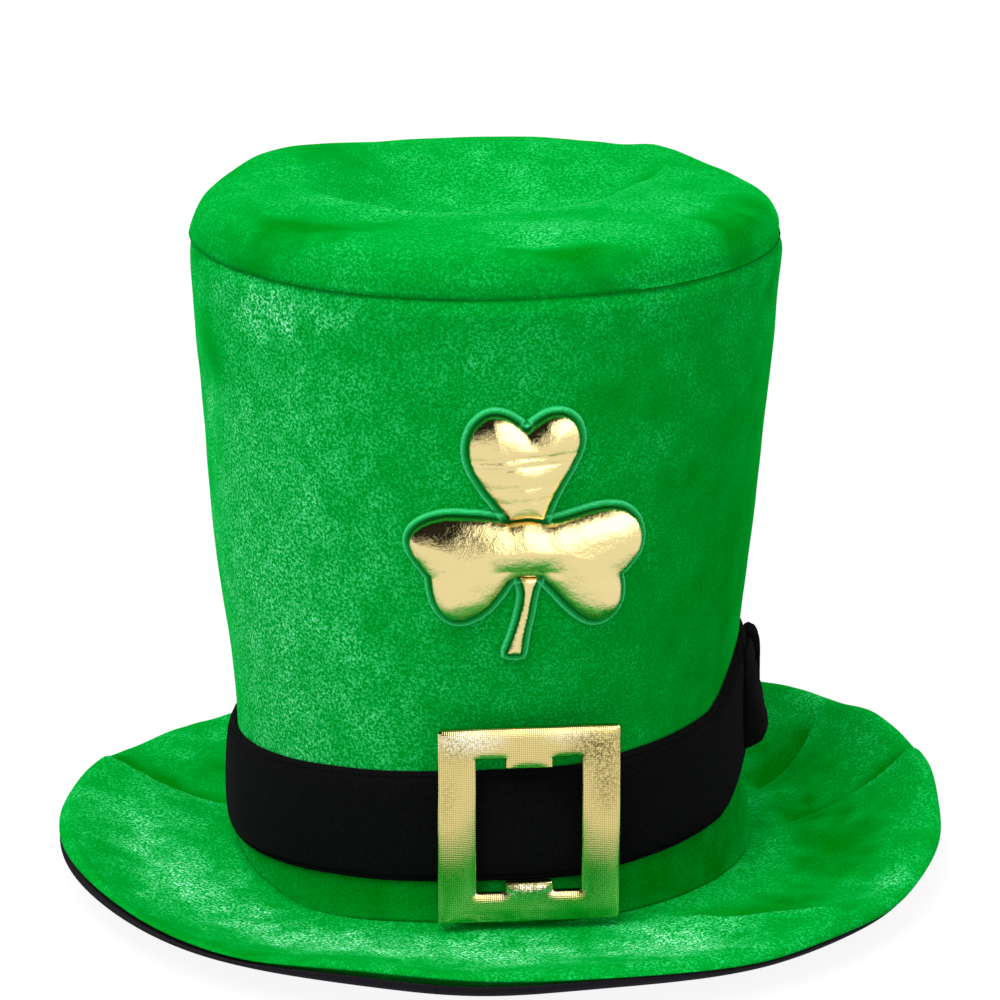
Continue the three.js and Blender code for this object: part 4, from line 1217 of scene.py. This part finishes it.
class HAT_OT_stage(bpy.types.Operator):
    """Sets the pale floor, the soft light and the camera"""
    bl_idname = "hat.stage"
    bl_label = "Stage"

    def execute(self, context):
        scene = context.scene
        bpy.ops.object.select_all(action="DESELECT")
        bpy.ops.mesh.primitive_plane_add(size=16, location=(0, 0, -0.0003))
        floor = context.active_object
        floor.name = "floor"
        # A light table: opal acrylic, lit from below, so that hardly a shadow shows
        floor.data.materials.append(finish_material(new_material("opal_acrylic")[0], {
            "Base Color": srgb("4E4E4E"), "Roughness": 0.9, "Specular IOR Level": 0.0,
            "Emission Color": srgb("FFFFFF"), "Emission Strength": 0.91}))

        world = bpy.data.worlds.new("soft_white")
        world.use_nodes = True
        world.node_tree.nodes.clear()
        tree = world.node_tree
        seen = add(tree, "LightPath")
        way = add(tree, "SeparateXYZ", {0: add(tree, "TexCoord").outputs["Generated"]})
        # A white tent, brightest overhead
        overhead = add(tree, "MapRange", {
            "Value": way.outputs["Z"], "From Min": 0.0, "From Max": 1.0, "To Min": 0.3, "To Max": 1.7})
        soft = add(tree, "Background", {"Strength": overhead})
        # Gloss sees white cards round the hat, a lamp high on the right and a dark room high on the left
        high = add(tree, "MapRange", {"Value": way.outputs["Z"], "From Min": -0.14, "From Max": -0.08})
        window = add(tree, "MapRange", {
            "Value": way.outputs["X"], "From Min": 0.06, "From Max": 0.26, "To Min": 0.01, "To Max": 3.0})
        ceiling = add(tree, "MapRange", {
            "Value": way.outputs["Z"], "From Min": 0.7, "From Max": 0.85, "To Min": 1.0, "To Max": 0.03})
        lamp = add(tree, "Math", {0: window, 1: ceiling}, operation="MULTIPLY")
        bright = add(tree, "MapRange", {
            "Value": way.outputs["Z"], "From Min": -0.22, "From Max": -0.16, "To Min": 0.95, "To Max": 1.9})
        gloss = add(tree, "Mix", {"Factor": high, 2: bright, 3: lamp})
        cards = add(tree, "Background", {"Strength": gloss})
        white = add(tree, "Background", {"Strength": 1.0})
        lit = add(tree, "MixShader", {0: seen.outputs["Is Glossy Ray"], 1: soft, 2: cards})
        mixed = add(tree, "MixShader", {0: seen.outputs["Is Camera Ray"], 1: lit, 2: white})
        add(tree, "OutputWorld", {"Surface": mixed})
        for card in (soft, cards, white):
            card.inputs["Color"].default_value = srgb("FFFFFF")
        scene.world = world

        key = bpy.data.objects.new("key", bpy.data.lights.new("key", "SUN"))
        key.data.energy = 2.2
        key.data.angle = math.radians(35)
        key.rotation_euler = (math.radians(30), 0, math.radians(-35))
        key.visible_glossy = False
        scene.collection.objects.link(key)

        camera = bpy.data.objects.new("camera", bpy.data.cameras.new("camera"))
        camera.location = (0, -1.53, 0.596)
        camera.rotation_euler = (math.radians(73.5), 0, 0)
        camera.data.lens = 151.2
        camera.data.sensor_width = 36.0
        scene.collection.objects.link(camera)
        scene.camera = camera
        scene.view_settings.view_transform = "Standard"
        return {"FINISHED"}


GROUPS = {
    "hat_velvet": HatVelvet, "hat_crown": HatCrown, "hat_brim": HatBrim, "hat_band": HatBand,
    "hat_buckle": HatBuckle, "hat_shamrock": HatShamrock,
}
OPERATORS = [
    HAT_OT_crown, HAT_OT_brim, HAT_OT_band, HAT_OT_bow, HAT_OT_buckle, HAT_OT_shamrock, HAT_OT_stage,
]


class HAT_PT_hat(bpy.types.Panel):
    """The hat's pieces, in the order that they are made"""
    bl_idname = "HAT_PT_hat"
    bl_label = "Leprechaun hat"
    bl_space_type = "VIEW_3D"
    bl_region_type = "UI"
    bl_category = "Hat"

    def draw(self, context):
        for group in GROUPS:
            box = self.layout.box()
            for name in GROUPS[group].__annotations__:
                box.prop(getattr(context.scene, group), name)
        for operator in OPERATORS:
            self.layout.operator(operator.bl_idname)


def register():
    for group in GROUPS.values():
        bpy.utils.register_class(group)
    for operator in OPERATORS:
        bpy.utils.register_class(operator)
    bpy.utils.register_class(HAT_PT_hat)
    for name, group in GROUPS.items():
        setattr(bpy.types.Scene, name, PointerProperty(type=group))


def unregister():
    for name in GROUPS:
        delattr(bpy.types.Scene, name)
    bpy.utils.unregister_class(HAT_PT_hat)
    for operator in reversed(OPERATORS):
        bpy.utils.unregister_class(operator)
    for group in reversed(GROUPS.values()):
        bpy.utils.unregister_class(group)


def main():
    register()
    bpy.ops.hat.crown()
    bpy.ops.hat.brim()
    bpy.ops.hat.band()
    bpy.ops.hat.bow()
    bpy.ops.hat.buckle()
    bpy.ops.hat.shamrock()
    bpy.ops.hat.stage()


if __name__ == "__main__":
    main()
